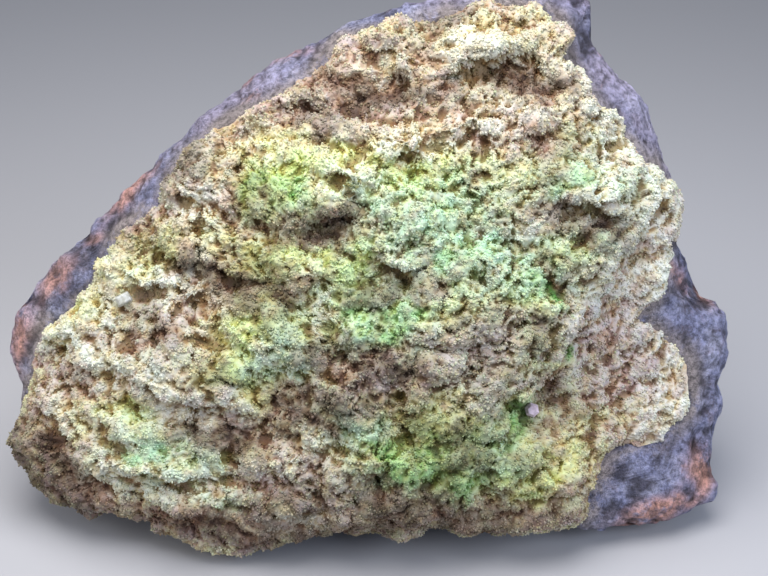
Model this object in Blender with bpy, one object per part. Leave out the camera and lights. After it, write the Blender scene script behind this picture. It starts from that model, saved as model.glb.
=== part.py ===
# A pyromorphite specimen: a broken block of dark iron-stained rock whose leaning front carries
# a thick spongy crust of small pyromorphite crystals, with two odd crystals seated on it.
#
# Lengths are in millimetres until a mesh is made. +X is the specimen's right, +Z is up and the
# crusted front faces -Y. Rock and crust are both described over one plane that leans back like
# the front: x runs right, v runs up the plane and n is the height off it, towards the front.

import math

import bmesh
import bpy
import numpy as np

MM = 0.001

# The face plane
LEAN = math.radians(30.0)  # how far the plane leans back from upright
MIDDLE = (0.0, 55.0)  # x and v of the point that the outlines are measured round
FOOTPRINT_SHIFT = (-0.43, -3.24)  # brings the middle of the specimen's box over the origin

# Meshes: each solid starts as a ball of 20 * DIVISIONS^2 triangles
ROCK_DIVISIONS = 13
ROCK_FRONT_SHARE = 0.36  # of the triangles, most of them near the rim
ROCK_CROWDING = (0.38, 0.42)  # front and back: under 0.5 draws the points towards the rim
CRUST_DIVISIONS = 18
CRUST_FRONT_SHARE = 0.76
CRUST_CROWDING = (0.49, 0.5)

# The seam between rock and crust: a gently domed surface that sags behind the lower right lobe
SEAM_HEIGHT = 45.0
SEAM_RISE = 0.1  # per mm up the plane
SEAM_DOME_UP = 0.0009
SEAM_DOME_ACROSS = 14.0  # drop at SEAM_DOME_REACH to either side
SEAM_DOME_REACH = 90.0
SEAM_DOME_X = 12.0
LOBE_SAG = (78.0, 33.0, 24.0, 25.0, 8.0)  # x, v, reach across, reach up, depth
SEAM_GAP = 0.5  # clear space between the two solids
RIM_EVENING = np.radians(np.linspace(-20.0, 20.0, 9))  # turns over which a rim is evened out

# The rock's rim: x, v, n, clockwise from the left
ROCK_RIM = (
    (-93, 30, 20), (-96.5, 40, 21), (-93.5, 50.5, 22), (-85, 60, 24), (-78, 67, 25),
    (-69.5, 74.2, 27), (-64, 82, 28), (-56, 88, 29), (-47.8, 95.8, 31), (-43.6, 100.8, 32),
    (-36.5, 104.6, 33), (-27.5, 112.4, 34), (-12.8, 119.4, 37), (-7, 123.6, 39), (3.5, 126.8, 42),
    (14, 129, 45), (27, 131.2, 46), (41, 133, 46), (51, 132, 45), (58, 130, 42), (58.5, 119, 38),
    (66, 111, 35), (73, 106, 32), (76, 100, 30), (79, 89, 30), (84, 78, 28), (83, 68, 26),
    (88, 59, 22), (91, 54, 20), (95, 53, 20), (98, 47, 18), (97.5, 38, 18), (95.5, 30, 18),
    (97, 24, 18), (94, 14, 18), (93, 9, 18), (94, -1, 18.5), (83, -6, 20.5), (68, -8, 23),
    (58, -8.5, 25.5), (53, -5, 27), (38, -5, 28.5), (15, -5.5, 29.5), (-15, -6, 30),
    (-40, -6, 29.5), (-58, -4, 27.5), (-72, -1.5, 25), (-82, -0.5, 22.5), (-90, 3, 20),
    (-93.5, 12, 20),
)
ROCK_SIDE_ROLL, ROCK_FOOT_ROLL = 11.0, 5.0  # width over which the front falls to the rim
ROCK_BACK_ROLL = 26.0
# The rock's back is broken along flats: distance back at x = 0, slope along x, slope along v
BACK_FLATS = (
    (46.5, 0.0, -0.03), (59.0, 0.42, 0.0), (64.0, -0.34, 0.0), (62.0, 0.3, -0.2),
    (83.0, -0.06, -0.34), (41.0, 0.12, 0.2), (55.0, -0.2, -0.02),
)
# Chips out of the back and knobs on it: x, v, half length, half width, turn in degrees, height
BACK_FORMS = (
    (-36, 72, 20, 11, 40, -4.5),
    (32, 62, 17, 12, -35, -4.0),
    (60, 34, 13, 19, 10, -3.5),
    (-8, 104, 15, 8, 30, -3.0),
    (-58, 38, 14, 9, 20, -4.0),
    (8, 40, 18, 8, 10, -3.0),
    (44, 96, 12, 9, -50, -3.0),
    (-14, 62, 9, 7, 0, 3.0),
    (70, 70, 8, 6, 0, 2.5),
)
ROCK_RELIEF = ((27.0, 2.2), (11.0, 1.6), (6.0, 0.7))  # wavelength, height
RELIEF_CLEAR = (2.0, 6.0)  # the rock's relief starts and is full this far outside the crust

# The underside: flat where the rock rests, and rising at both ends and under the back
END_START, END_WIDTH, END_RISE = 56.0, 30.0, 4.0  # measured out from x = 0
HEEL_START, HEEL_WIDTH, HEEL_RISE = 26.0, 16.0, 4.0  # measured back from y = 0

# The crust's rim: x, v, clockwise from the left
CRUST_RIM = (
    (-91, 32), (-88, 41), (-85, 45), (-84, 49), (-77, 52), (-72, 56), (-69, 63), (-64, 71),
    (-58.5, 74), (-52, 79), (-49, 87), (-45, 94), (-39, 97), (-28, 103), (-15, 109), (-9, 115),
    (-6, 120.5), (12, 123.5), (22, 126), (34, 129), (45, 128), (49, 124), (52, 114), (59, 106),
    (67, 96), (75, 88), (82, 77), (81, 71), (80, 66), (78, 58), (76, 53), (73, 48), (76.5, 46),
    (82, 41), (87, 36), (88, 31), (88.5, 25), (86, 21), (82, 18), (79, 14), (70, 13), (64, 11.5),
    (62.5, 7), (60, 2.5), (59, -3.6), (55, -7), (39, -7), (32, -7.6), (27, -9), (20, -7), (8, -9),
    (-12, -9.3), (-22, -11), (-28.6, -12.4), (-45, -12), (-56, -9.4), (-63, -4), (-71, -5),
    (-79.5, -2), (-85.5, -1.6), (-90, 5), (-95.5, 13), (-97, 15.7), (-94, 21),
)
CRUST_EDGE, CRUST_MIDDLE, CRUST_TAPER = 5.0, 11.0, 30.0  # thickness, and the width it grows over
CRUST_FOOT = 10.0  # thickness along the lower edge
FOOT_FROM = 0.35  # sine of the angle under the horizontal at which the lower edge begins
CRUST_LEAST = 1.6
EDGE_ROLL, FOOT_ROLL = 4.5, 18.0  # width of the rounded edge, round the sides and at the foot

# The cliff on the lower right: its line from top to foot, the drop and the width of the step
CLIFF_TOP, CLIFF_FOOT = (70.0, 75.0), (37.0, 20.0)
CLIFF_DROP, CLIFF_WIDTH = 7.0, 5.0
CLIFF_HEAD_FADE = 12.0  # length over which it comes in at the top
CLIFF_PAST_FOOT, CLIFF_FOOT_FADE = 18.0, 24.0  # how far it runs on, and the length it dies out over

# Lumps, ledges and hollows of the crust: x, v, half length, half width, turn in degrees, height
CRUST_FORMS = (
    # lumps: the middle one, the knob on the right, the block above the cliff and so on
    (10.1, 70, 12.4, 8.3, 10, 4), (59.9, 81.1, 10.6, 6.1, -15, 5), (37.9, 52, 19.7, 11.6, 25, 3),
    (35.9, 120.1, 13.2, 5.6, 10, 2), (-63.8, 42.1, 17.7, 8.6, -8, 3.5),
    (-29.4, 42.4, 8.6, 7.6, 0, 3.5), (-59.8, 61.4, 9.6, 4.3, -18, 4.5),
    (-77, 47.7, 5.6, 3.5, 10, 2), (-51.7, 11.3, 19.7, 4.6, -8, 3),
    (-47.1, 0.1, 8.6, 2.8, 0, 2.5), (-25.9, -0.4, 15.2, 3.5, -8, 2.5),
    (12.1, 10.3, 5.6, 3.3, 0, 3.5), (5, 14.6, 6.6, 2.3, -8, 2.5), (29.3, 10.3, 12.7, 6.1, 0, 2),
    (72.8, 37.6, 10.6, 6.1, -35, 3.5), (53.1, 9.2, 10.1, 6.1, 15, 2.5),
    (-24.3, 103.4, 9.6, 3, 12, 2.5), (12.1, 95.3, 24, 2.3, 2, 2),
    (-8.7, 85.6, 17.7, 2.8, -10, 3), (-48.6, 77.8, 5.6, 3.5, 30, 2.5),
    (-39.8, 83.6, 5.6, 3.5, 30, 2.5), (42.4, 98.8, 11.4, 3, -12, 2),
    (28.3, 106.4, 5.1, 3, 10, 2.5), (15.4, 36.1, 4.3, 2.5, 15, 3),
    (12.6, 50.2, 7.6, 5.1, 5, 2.5), (-20, 44.4, 4.8, 4.8, 0, 3), (32.3, 32, 10.1, 3.5, 12, 2),
    (-1.6, 24.9, 5.1, 4.6, 0, 2), (27.8, 62.9, 9.6, 4.6, -8, 2), (49.5, 84.9, 6.6, 3.5, 0, 2),
    (-8.7, 60.3, 6.6, 1.8, -28, 2), (73.6, 81.1, 5.1, 15.2, 20, 2),
    # hollows: the cave near the top, the slot under the knob, the hole near the foot and so on
    (37.4, 110.9, 8.1, 3.5, -8, -6.4), (23, 106.4, 7.6, 1.8, 38, -3.8),
    (46.5, 105.4, 5.1, 2, -20, -2.2), (5, 105.6, 6.1, 2.3, 8, -5.2),
    (-7.1, 107.4, 4.6, 1.8, -10, -3), (-12.7, 99.3, 4.6, 2, -20, -2.6),
    (27.3, 92.5, 4.6, 1.8, -25, -2.6), (46, 91.7, 2.3, 1.8, 0, -1.9),
    (12.1, 85.6, 6.1, 2.5, 0, -3), (-32.4, 84.1, 1.8, 4.6, 12, -2.6),
    (-7.7, 72, 8.1, 3.8, 8, -5.6), (-23.3, 72, 6.1, 3.3, 15, -2.6),
    (-29.9, 76.8, 2.5, 3, 0, -2.2), (50, 76, 4.6, 2.5, -10, -3.8),
    (60.2, 72.5, 6.6, 3, -14, -4.9), (15.1, 61.9, 8.1, 1.8, 38, -4.1),
    (5.3, 59.3, 9.1, 2.3, 0, -3.4), (2, 62.9, 5.1, 2, 0, -2.2),
    (-44.6, 61.9, 5.6, 2.3, 10, -3.8), (-36, 57.8, 6.6, 1.8, -36, -3.4),
    (-23.8, 57.3, 10.1, 2, -2, -3), (-54.7, 53.8, 5.1, 2, 5, -3.4),
    (-42.6, 48.7, 6.6, 3.5, 0, -1.9), (-57.7, 43.1, 7.6, 2, 5, -2.6),
    (-79, 39.1, 2, 4.6, 20, -3), (-8.7, 38.6, 7.1, 3, -10, -2.6), (2, 39.6, 3.5, 3.5, 0, -2.2),
    (11.6, 34.5, 3.5, 2.3, 0, -3.4), (-31.9, 33.5, 5.6, 1.8, 8, -3),
    (-19.3, 31, 9.6, 5.1, 0, -1.9), (-36, 21.9, 15.2, 5.1, -6, -2.6),
    (-60.8, 25.4, 6.1, 2.3, 5, -2.2), (41.4, 25.4, 8.1, 2.8, 8, -3),
    (10.6, 19.9, 2.3, 5.6, 10, -2.6), (3.2, 6.5, 4.8, 3, 0, -6),
    (29.8, 17.8, 6.6, 2.5, -10, -2.2), (47.5, 57.8, 4.6, 2, -55, -3.8),
    (38.1, 46.2, 8.6, 2, 10, -1.5), (19.2, 52.8, 2.3, 3, 0, -2.6),
    (19.7, 40.1, 8.6, 1.8, 15, -1.9), (62.7, 41.9, 2.3, 2.3, 0, -1.9), (63.7, 30, 3, 2, 0, -1.5),
    (35.6, 69, 3.5, 2, 0, -1.9),
)
LUMP_DROOP = 0.3  # how far a lump hangs down the face, of its height over the middle thickness
HANG_FADE = 8.0  # width round the rim over which the droop comes in
CRUST_RELIEF = ((28.0, 2.0), (13.0, 1.7), (6.5, 1.2))  # wavelength, height

# Small pits and knobs scattered over the crust
PIT_COUNT, PIT_REACH, PIT_DEPTH = 90, (2.2, 4.2), (-3.2, -1.4)
KNOB_COUNT, KNOB_REACH, KNOB_RISE = 70, (2.4, 4.8), (1.0, 2.6)

# The two odd crystals, on flat seats in the crust
SEAT_REACH, SEAT_FADE = 4.6, 7.0
SEAT_SINK = 1.2
SEAT_GAP = 0.35
LILAC_PLACE, LILAC_RADIUS, LILAC_HEIGHT, LILAC_TURN = (42.7, 25.2), 1.9, 3.2, 12.0
LILAC_BEVEL, LILAC_TOP = 0.3, 0.6  # share of the height bevelled, and the top's share of the radius
GRAIN_PLACE, GRAIN_SIZE, GRAIN_TURN = (-62.0, 53.5), (4.4, 3.2, 2.4), 28.0
GRAIN_BEVEL = 0.3

ROCK_SEED, CRUST_SEED = 11, 23


def clear_scene():
    for found in list(bpy.data.objects):
        bpy.data.objects.remove(found, do_unlink=True)


def ease(t):
    """0 to 1 with level ends."""
    t = np.clip(t, 0.0, 1.0)
    return t * t * (3.0 - 2.0 * t)


def roll(t):
    """A quarter round: 0 at the rim, 1 at and past t = 1, upright at the rim."""
    return np.sqrt(1.0 - (1.0 - np.clip(t, 0.0, 1.0)) ** 2)


def lattice(i, j, k, seed):
    """A fixed random number from -1 to 1 for each point of a whole-number lattice."""
    mixed = (i * 374761393 + j * 668265263 + k * 1440662683 + seed * 1013904223) & 0xFFFFFFFF
    mixed = ((mixed ^ (mixed >> 13)) * 1274126177) & 0xFFFFFFFF
    return ((mixed ^ (mixed >> 16)) & 0xFFFFFF) / 0x7FFFFF - 1.0


def noise(points, wavelength, seed):
    """Smooth random height at each point, from the eight lattice points round it."""
    scaled = points / wavelength
    low = np.floor(scaled).astype(np.int64)
    part = scaled - low
    part = part**3 * (part * (part * 6.0 - 15.0) + 10.0)
    total = np.zeros(len(points))
    for corner in range(8):
        step = np.array([corner & 1, corner >> 1 & 1, corner >> 2])
        weight = np.where(step, part, 1.0 - part).prod(axis=1)
        total += weight * lattice(*(low + step).T, seed)
    return total


def relief(points, octaves, seed):
    return sum(
        height * noise(points, wavelength, seed + i)
        for i, (wavelength, height) in enumerate(octaves)
    )


def rim_at(rim, angle, column=None):
    """The rim's radius at each angle round MIDDLE, or the value in one of its columns."""
    points = np.array(rim, float)
    across, up = points[:, 0] - MIDDLE[0], points[:, 1] - MIDDLE[1]
    value = np.hypot(across, up) if column is None else points[:, column]
    return np.interp(angle, np.arctan2(up, across), value, period=2 * math.pi)


def inside_rim(rim, angle, out):
    """x and v at a share of the way out to the rim, whose jogs die out towards the middle."""
    even = np.mean([rim_at(rim, angle + turn) for turn in RIM_EVENING], axis=0)
    radius = out * (even + (rim_at(rim, angle) - even) * out**3)
    return MIDDLE[0] + radius * np.cos(angle), MIDDLE[1] + radius * np.sin(angle)


def from_rim(rim, x, v):
    """The distance in the face plane from each point to the nearest stretch of the rim."""
    ends = np.array(rim, float)[:, :2]
    nearest = np.full(np.shape(x), np.inf)
    for start, end in zip(ends, np.roll(ends, -1, axis=0), strict=True):
        run = end - start
        rel_x, rel_v = x - start[0], v - start[1]
        share = np.clip((rel_x * run[0] + rel_v * run[1]) / (run @ run), 0.0, 1.0)
        nearest = np.minimum(nearest, np.hypot(rel_x - share * run[0], rel_v - share * run[1]))
    return nearest


def seam(x, v):
    """The seam's height n."""
    up = v - MIDDLE[1]
    sag_x, sag_v, sag_across, sag_up, depth = LOBE_SAG
    return (
        SEAM_HEIGHT
        + SEAM_RISE * up
        - SEAM_DOME_UP * up**2
        - SEAM_DOME_ACROSS * ((x - SEAM_DOME_X) / SEAM_DOME_REACH) ** 2
        - depth * np.exp(-(((x - sag_x) / sag_across) ** 2) - ((v - sag_v) / sag_up) ** 2)
    )


def foot_share(x, v):
    """1 towards the lower edge of the specimen, 0 towards its sides and top."""
    down = (MIDDLE[1] - v) / (np.hypot(x - MIDDLE[0], v - MIDDLE[1]) + 1e-6)
    return ease((down - FOOT_FROM) / FOOT_FROM)


def cliff_step(x, v):
    """0 on the high side of the cliff, 1 on the low side."""
    along = np.subtract(CLIFF_FOOT, CLIFF_TOP)
    length = np.hypot(*along)
    along = along / length
    rel_x, rel_v = x - CLIFF_TOP[0], v - CLIFF_TOP[1]
    down = rel_x * along[0] + rel_v * along[1]
    out = rel_v * along[0] - rel_x * along[1]
    head = ease((down + CLIFF_HEAD_FADE) / CLIFF_HEAD_FADE)
    foot = ease((length + CLIFF_PAST_FOOT - down) / CLIFF_FOOT_FADE)
    return ease(out / CLIFF_WIDTH) * head * foot


def form_height(x, v, form):
    """One lump, or a hollow if its height is negative: flat-topped and oval."""
    at_x, at_v, long, wide, turn, height = form
    turn = math.radians(turn)
    rel_x, rel_v = x - at_x, v - at_v
    along = (rel_x * math.cos(turn) + rel_v * math.sin(turn)) / long
    across = (rel_v * math.cos(turn) - rel_x * math.sin(turn)) / wide
    return height * np.exp(-((along**2 + across**2) ** 1.25))


def scattered_forms():
    """Small round pits and knobs at seeded places over the whole crust."""
    random = np.random.default_rng(CRUST_SEED)
    low, high = np.min(CRUST_RIM, axis=0), np.max(CRUST_RIM, axis=0)
    forms = []
    for count, reach, height in (
        (PIT_COUNT, PIT_REACH, PIT_DEPTH), (KNOB_COUNT, KNOB_REACH, KNOB_RISE),
    ):
        places = random.uniform(low, high, (count, 2))
        long, wide = random.uniform(*reach, (2, count))
        turns, heights = random.uniform(0.0, 180.0, count), random.uniform(*height, count)
        forms += list(zip(*places.T, long, wide, turns, heights, strict=True))
    return forms


def crust_thickness(x, v, inward, bumps):
    """The crust's thickness over the seam; inward is the distance in from its rim."""
    foot = foot_share(x, v)
    edge = CRUST_EDGE + (CRUST_FOOT - CRUST_EDGE) * foot
    thick = edge + (CRUST_MIDDLE - edge) * ease(inward / CRUST_TAPER)
    thick = thick - CLIFF_DROP * cliff_step(x, v)
    thick = thick + sum(form_height(x, v, form) for form in CRUST_FORMS) + bumps
    thick = np.maximum(thick, CRUST_LEAST)
    return thick * roll(inward / (EDGE_ROLL + (FOOT_ROLL - EDGE_ROLL) * foot))


def seat_height(place):
    """Height n of a crystal's flat seat, a little under the crust round it without its relief."""
    x, v = np.array([place[0]]), np.array([place[1]])
    level = seam(x, v) + SEAM_GAP + crust_thickness(x, v, from_rim(CRUST_RIM, x, v), 0.0)
    return float(level[0]) - SEAT_SINK


def world(x, v, n):
    """Face plane millimetres to world metres."""
    y = v * math.sin(LEAN) - n * math.cos(LEAN)
    z = v * math.cos(LEAN) + n * math.sin(LEAN)
    return np.stack([x + FOOTPRINT_SHIFT[0], y + FOOTPRINT_SHIFT[1], z], axis=-1) * MM


def ball(divisions):
    """A unit ball of even triangles."""
    mesh = bmesh.new()
    bmesh.ops.create_icosphere(mesh, subdivisions=1, radius=1.0)
    bmesh.ops.subdivide_edges(mesh, edges=mesh.edges[:], cuts=divisions - 1, use_grid_fill=True)
    for vertex in mesh.verts:
        vertex.co.normalize()
    return mesh


def spread(directions, front_share, crowding):
    """For each direction of the ball: its angle, its share of the way to the rim, and its side."""
    angle = np.arctan2(directions[:, 1], directions[:, 0])
    area = (1.0 - directions[:, 2]) / 2.0  # share of the ball from its front pole
    front = area < front_share
    out = np.where(
        front,
        np.clip(area / front_share, 0, 1) ** crowding[0],
        np.clip((1.0 - area) / (1.0 - front_share), 0, 1) ** crowding[1],
    )
    return angle, out, front


def rock_heights(angle, out, front):
    """The rock's surface over the face plane: x, v and n."""
    x, v = inside_rim(ROCK_RIM, angle, out)
    rim_n = rim_at(ROCK_RIM, angle, column=2)
    inward = from_rim(ROCK_RIM, x, v) * (out < 1.0)
    outside = np.hypot(x - MIDDLE[0], v - MIDDLE[1]) > rim_at(CRUST_RIM, angle)
    bare = from_rim(CRUST_RIM, x, v) * outside
    bare = ease((bare - RELIEF_CLEAR[0]) / (RELIEF_CLEAR[1] - RELIEF_CLEAR[0]))
    bumps = relief(np.stack([x, v, np.where(front, 40.0, -20.0)], axis=1), ROCK_RELIEF, ROCK_SEED)
    front_roll = ROCK_SIDE_ROLL + (ROCK_FOOT_ROLL - ROCK_SIDE_ROLL) * foot_share(x, v)
    front_n = rim_n + (seam(x, v) - rim_n) * roll(inward / front_roll)
    front_n = front_n + bumps * bare * ease(inward / 5.0)

    back = np.min([at + along * x + up * v for at, along, up in BACK_FLATS], axis=0) + bumps
    back = back + sum(form_height(x, v, form) for form in BACK_FORMS)
    back_n = (v * math.sin(LEAN) - back) / math.cos(LEAN)
    back_n = rim_n + (back_n - rim_n) * roll(inward / ROCK_BACK_ROLL)
    # The underside is a height z over the floor, so n is what gives that z at this v.
    end = END_RISE * ease((np.abs(x) - END_START) / END_WIDTH)
    heel = HEEL_RISE * ease((v / math.sin(LEAN) - HEEL_START) / HEEL_WIDTH)
    under_n = (np.maximum(end, heel) - v * math.cos(LEAN)) / math.sin(LEAN)
    back_n = np.where(out < 1.0, np.maximum(back_n, under_n), rim_n)
    return x, v, np.where(front, front_n, back_n)


def crust_heights(angle, out, front):
    """The crust's surface over the face plane: x, v and n."""
    x, v = inside_rim(CRUST_RIM, angle, out)
    inward = from_rim(CRUST_RIM, x, v) * (out < 1.0)
    bumps = relief(np.stack([x, v, np.full_like(x, 50.0)], axis=1), CRUST_RELIEF, CRUST_SEED)
    bumps = bumps + sum(form_height(x, v, form) for form in scattered_forms())
    thick = crust_thickness(x, v, inward, bumps)
    n = seam(x, v) + SEAM_GAP + thick * front
    hang = LUMP_DROOP * (thick - CRUST_MIDDLE) * ease(inward / HANG_FADE) * front
    for place in (LILAC_PLACE, GRAIN_PLACE):
        near = ease((SEAT_REACH + SEAT_FADE - np.hypot(x - place[0], v - place[1])) / SEAT_FADE)
        n = np.where(front, n + (seat_height(place) - n) * near, n)
        hang = hang * (1.0 - near)
    return x, v - hang, n


def shaped_ball(name, divisions, front_share, crowding, heights):
    """A closed solid: a ball whose points are moved to the surface that heights gives."""
    mesh = ball(divisions)
    directions = np.array([vertex.co for vertex in mesh.verts])
    places = world(*heights(*spread(directions, front_share, crowding)))
    for vertex, place in zip(mesh.verts, places, strict=True):
        vertex.co = place
    return finished(name, mesh)


def finished(name, mesh):
    bmesh.ops.triangulate(mesh, faces=mesh.faces[:])
    data = bpy.data.meshes.new(name)
    mesh.to_mesh(data)
    mesh.free()
    made = bpy.data.objects.new(name, data)
    bpy.context.scene.collection.objects.link(made)
    return made


def seated(mesh, place, turn):
    """Moves a crystal, modelled upright in mm with its foot at z = 0, onto its seat."""
    base = seat_height(place) + SEAT_GAP
    turn = math.radians(turn)
    for vertex in mesh.verts:
        across, up, height = vertex.co
        x = place[0] + across * math.cos(turn) - up * math.sin(turn)
        v = place[1] + across * math.sin(turn) + up * math.cos(turn)
        vertex.co = world(x, v, base + height)


def lilac_crystal():
    """A stubby six-sided prism with a bevelled top."""
    mesh = bmesh.new()
    bmesh.ops.create_cone(
        mesh, cap_ends=True, segments=6, radius1=LILAC_RADIUS, radius2=LILAC_RADIUS,
        depth=LILAC_HEIGHT * (1.0 - LILAC_BEVEL),
    )
    top = max(mesh.faces, key=lambda face: face.calc_center_median().z)
    raised = bmesh.ops.extrude_discrete_faces(mesh, faces=[top])["faces"][0]
    for vertex in raised.verts:
        vertex.co.x *= LILAC_TOP
        vertex.co.y *= LILAC_TOP
        vertex.co.z += LILAC_HEIGHT * LILAC_BEVEL
    bmesh.ops.remove_doubles(mesh, verts=mesh.verts[:], dist=1e-4)
    lift = -min(vertex.co.z for vertex in mesh.verts)
    bmesh.ops.translate(mesh, verts=mesh.verts[:], vec=(0, 0, lift))
    seated(mesh, LILAC_PLACE, LILAC_TURN)
    return finished("lilac_crystal", mesh)


def white_grain():
    """A small slanted cleavage block."""
    mesh = bmesh.new()
    bmesh.ops.create_cube(mesh, size=1.0)
    long, wide, high = GRAIN_SIZE
    for vertex in mesh.verts:
        up = vertex.co.z + 0.5
        vertex.co.x = vertex.co.x * long * (1.0 - 0.25 * up) + 0.4 * up
        vertex.co.y = vertex.co.y * wide * (1.0 - 0.3 * up) - 0.2 * up
        vertex.co.z = up * high
    bmesh.ops.bevel(mesh, geom=mesh.edges[:], offset=GRAIN_BEVEL, segments=1, affect="EDGES")
    lift = -min(vertex.co.z for vertex in mesh.verts)
    bmesh.ops.translate(mesh, verts=mesh.verts[:], vec=(0, 0, lift))
    seated(mesh, GRAIN_PLACE, GRAIN_TURN)
    return finished("white_grain", mesh)


def material(name, colour, roughness, transmission=0.0):
    made = bpy.data.materials.new(name)
    made.use_nodes = True
    shader = made.node_tree.nodes["Principled BSDF"]
    shader.inputs["Base Color"].default_value = (*colour, 1.0)
    shader.inputs["Roughness"].default_value = roughness
    shader.inputs["Metallic"].default_value = 0.0
    shader.inputs["Transmission Weight"].default_value = transmission
    made.diffuse_color = (*colour, 1.0)
    return made


def build():
    clear_scene()
    rock = shaped_ball("matrix", ROCK_DIVISIONS, ROCK_FRONT_SHARE, ROCK_CROWDING, rock_heights)
    rock.data.materials.append(material("dark_rock", (0.13, 0.11, 0.14), 0.8))
    crust = shaped_ball(
        "pyromorphite_crust", CRUST_DIVISIONS, CRUST_FRONT_SHARE, CRUST_CROWDING, crust_heights
    )
    crust.data.materials.append(material("pyromorphite", (0.45, 0.42, 0.2), 0.6))
    lilac_crystal().data.materials.append(material("lilac", (0.62, 0.5, 0.6), 0.2, 0.4))
    white_grain().data.materials.append(material("white_mineral", (0.75, 0.78, 0.85), 0.3, 0.3))


build()
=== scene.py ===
import math

import bpy
import numpy as np
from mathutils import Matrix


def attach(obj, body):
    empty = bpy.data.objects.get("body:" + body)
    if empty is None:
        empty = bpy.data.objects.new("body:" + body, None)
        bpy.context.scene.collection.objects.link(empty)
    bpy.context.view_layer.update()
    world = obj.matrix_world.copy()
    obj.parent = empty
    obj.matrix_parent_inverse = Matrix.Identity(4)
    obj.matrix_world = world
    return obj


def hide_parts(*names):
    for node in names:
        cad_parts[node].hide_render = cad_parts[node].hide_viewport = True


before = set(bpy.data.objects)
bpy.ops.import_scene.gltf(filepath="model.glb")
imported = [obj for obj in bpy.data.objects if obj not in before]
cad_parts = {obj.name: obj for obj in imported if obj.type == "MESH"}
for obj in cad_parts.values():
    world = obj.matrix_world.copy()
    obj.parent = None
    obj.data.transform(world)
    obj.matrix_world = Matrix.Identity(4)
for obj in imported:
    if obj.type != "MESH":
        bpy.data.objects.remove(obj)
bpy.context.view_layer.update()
print("frame loaded")

# The face plane leans back like the crusted front: x runs right, v up the plane, n is the height
# off it towards the front. Everything is worked out in its millimetres and moved to metres last.
facePlane = {
    "lean": math.radians(30.0),  # back from upright
    "middle": (0.0, 55.0),  # x and v that the outlines are measured round
    "shift": (-0.43, -3.24),  # brings the box's middle over the origin
}


def toWorld(x, v, n):
    lean = facePlane["lean"]
    y = v * math.sin(lean) - n * math.cos(lean)
    z = v * math.cos(lean) + n * math.sin(lean)
    shiftX, shiftY = facePlane["shift"]
    return np.stack([x + shiftX, y + shiftY, z], axis=-1) * 0.001


def toFace(points):  # world metres to face plane millimetres x, v and n
    lean = facePlane["lean"]
    shiftX, shiftY = facePlane["shift"]
    x, y, z = (points * 1000.0 - [shiftX, shiftY, 0.0]).T
    return x, y * math.sin(lean) + z * math.cos(lean), z * math.sin(lean) - y * math.cos(lean)


def fromMiddle(x, v):  # angle and distance from the middle that the outlines are measured round
    relX, relV = x - facePlane["middle"][0], v - facePlane["middle"][1]
    return np.arctan2(relV, relX), np.hypot(relX, relV)


def aroundMiddle(angle, radius):
    middleX, middleV = facePlane["middle"]
    return middleX + radius * np.cos(angle), middleV + radius * np.sin(angle)


def ease(t):  # 0 to 1 with level ends
    t = np.clip(t, 0.0, 1.0)
    return t * t * (3.0 - 2.0 * t)


def quarterRound(t):  # 0 and upright at the rim, 1 at and past t = 1
    return np.sqrt(1.0 - (1.0 - np.clip(t, 0.0, 1.0)) ** 2)


def latticeNumber(i, j, k, seed):  # a fixed number from -1 to 1 for each whole-number point
    mixed = (i * 374761393 + j * 668265263 + k * 1440662683 + seed * 1013904223) & 0xFFFFFFFF
    mixed = ((mixed ^ (mixed >> 13)) * 1274126177) & 0xFFFFFFFF
    return ((mixed ^ (mixed >> 16)) & 0xFFFFFF) / 0x7FFFFF - 1.0


def noise(points, wavelength, seed):  # smooth, from the eight lattice points round each point
    scaled = points / wavelength
    low = np.floor(scaled).astype(np.int64)
    part = scaled - low
    part = part**3 * (part * (part * 6.0 - 15.0) + 10.0)
    total = np.zeros(len(points))
    for corner in range(8):
        step = np.array([corner & 1, corner >> 1 & 1, corner >> 2])
        weight = np.where(step, part, 1.0 - part).prod(axis=1)
        total += weight * latticeNumber(*(low + step).T, seed)
    return total


def octaves(points, steps, seed):  # noise added up over pairs of wavelength and height
    return sum(h * noise(points, w, seed + i) for i, (w, h) in enumerate(steps))


def drifted(points, steps, seed, gap, axes=3):  # noise for each axis
    return np.stack([octaves(points, steps, seed + gap * axis) for axis in range(axes)], axis=1)


def cells(points, size, seed):
    # One random point in each cube of the given size: the distance to the nearest one and to the
    # second nearest, in cubes, and a random number from 0 to 1 that belongs to the nearest.
    jitter = 0.9  # share of its cube that a point keeps to
    scaled = points / size
    low = np.floor(scaled).astype(np.int64)
    first, second = np.full((2, len(points)), np.inf)
    own = np.zeros(len(points))
    for index in range(27):
        cube = low + np.array([index % 3, index // 3 % 3, index // 9]) - 1
        random = np.stack([latticeNumber(*cube.T, seed + axis) for axis in range(3)], axis=1)
        away = np.linalg.norm(cube + 0.5 + 0.5 * jitter * random - scaled, axis=1)
        nearer = away < first
        second = np.where(nearer, first, np.minimum(second, away))
        own = np.where(nearer, latticeNumber(*cube.T, seed + 3) * 0.5 + 0.5, own)
        first = np.where(nearer, away, first)
    return first, second, own


def discGrid(count):
    # A square grid pressed onto a disc, each ring of squares onto a circle: the angle and the
    # share of the way out of every point, row by row.
    line = np.linspace(-1.0, 1.0, count + 1)
    across, up = (a.ravel() for a in np.meshgrid(line, line))
    wide = np.abs(across) >= np.abs(up)
    out = np.where(wide, across, up)
    slant = np.where(wide, up, across) / np.where(out == 0.0, 1.0, out) * math.pi / 4.0
    angle = np.where(wide, slant, math.pi / 2.0 - slant)
    return np.arctan2(out * np.sin(angle), out * np.cos(angle)), np.abs(out)


def gridFaces(rows, columns):  # squares, counter-clockwise
    low = (np.arange(rows)[:, None] * (columns + 1) + np.arange(columns)).ravel()
    return np.stack([low, low + 1, low + columns + 2, low + columns + 1], axis=1)


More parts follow.
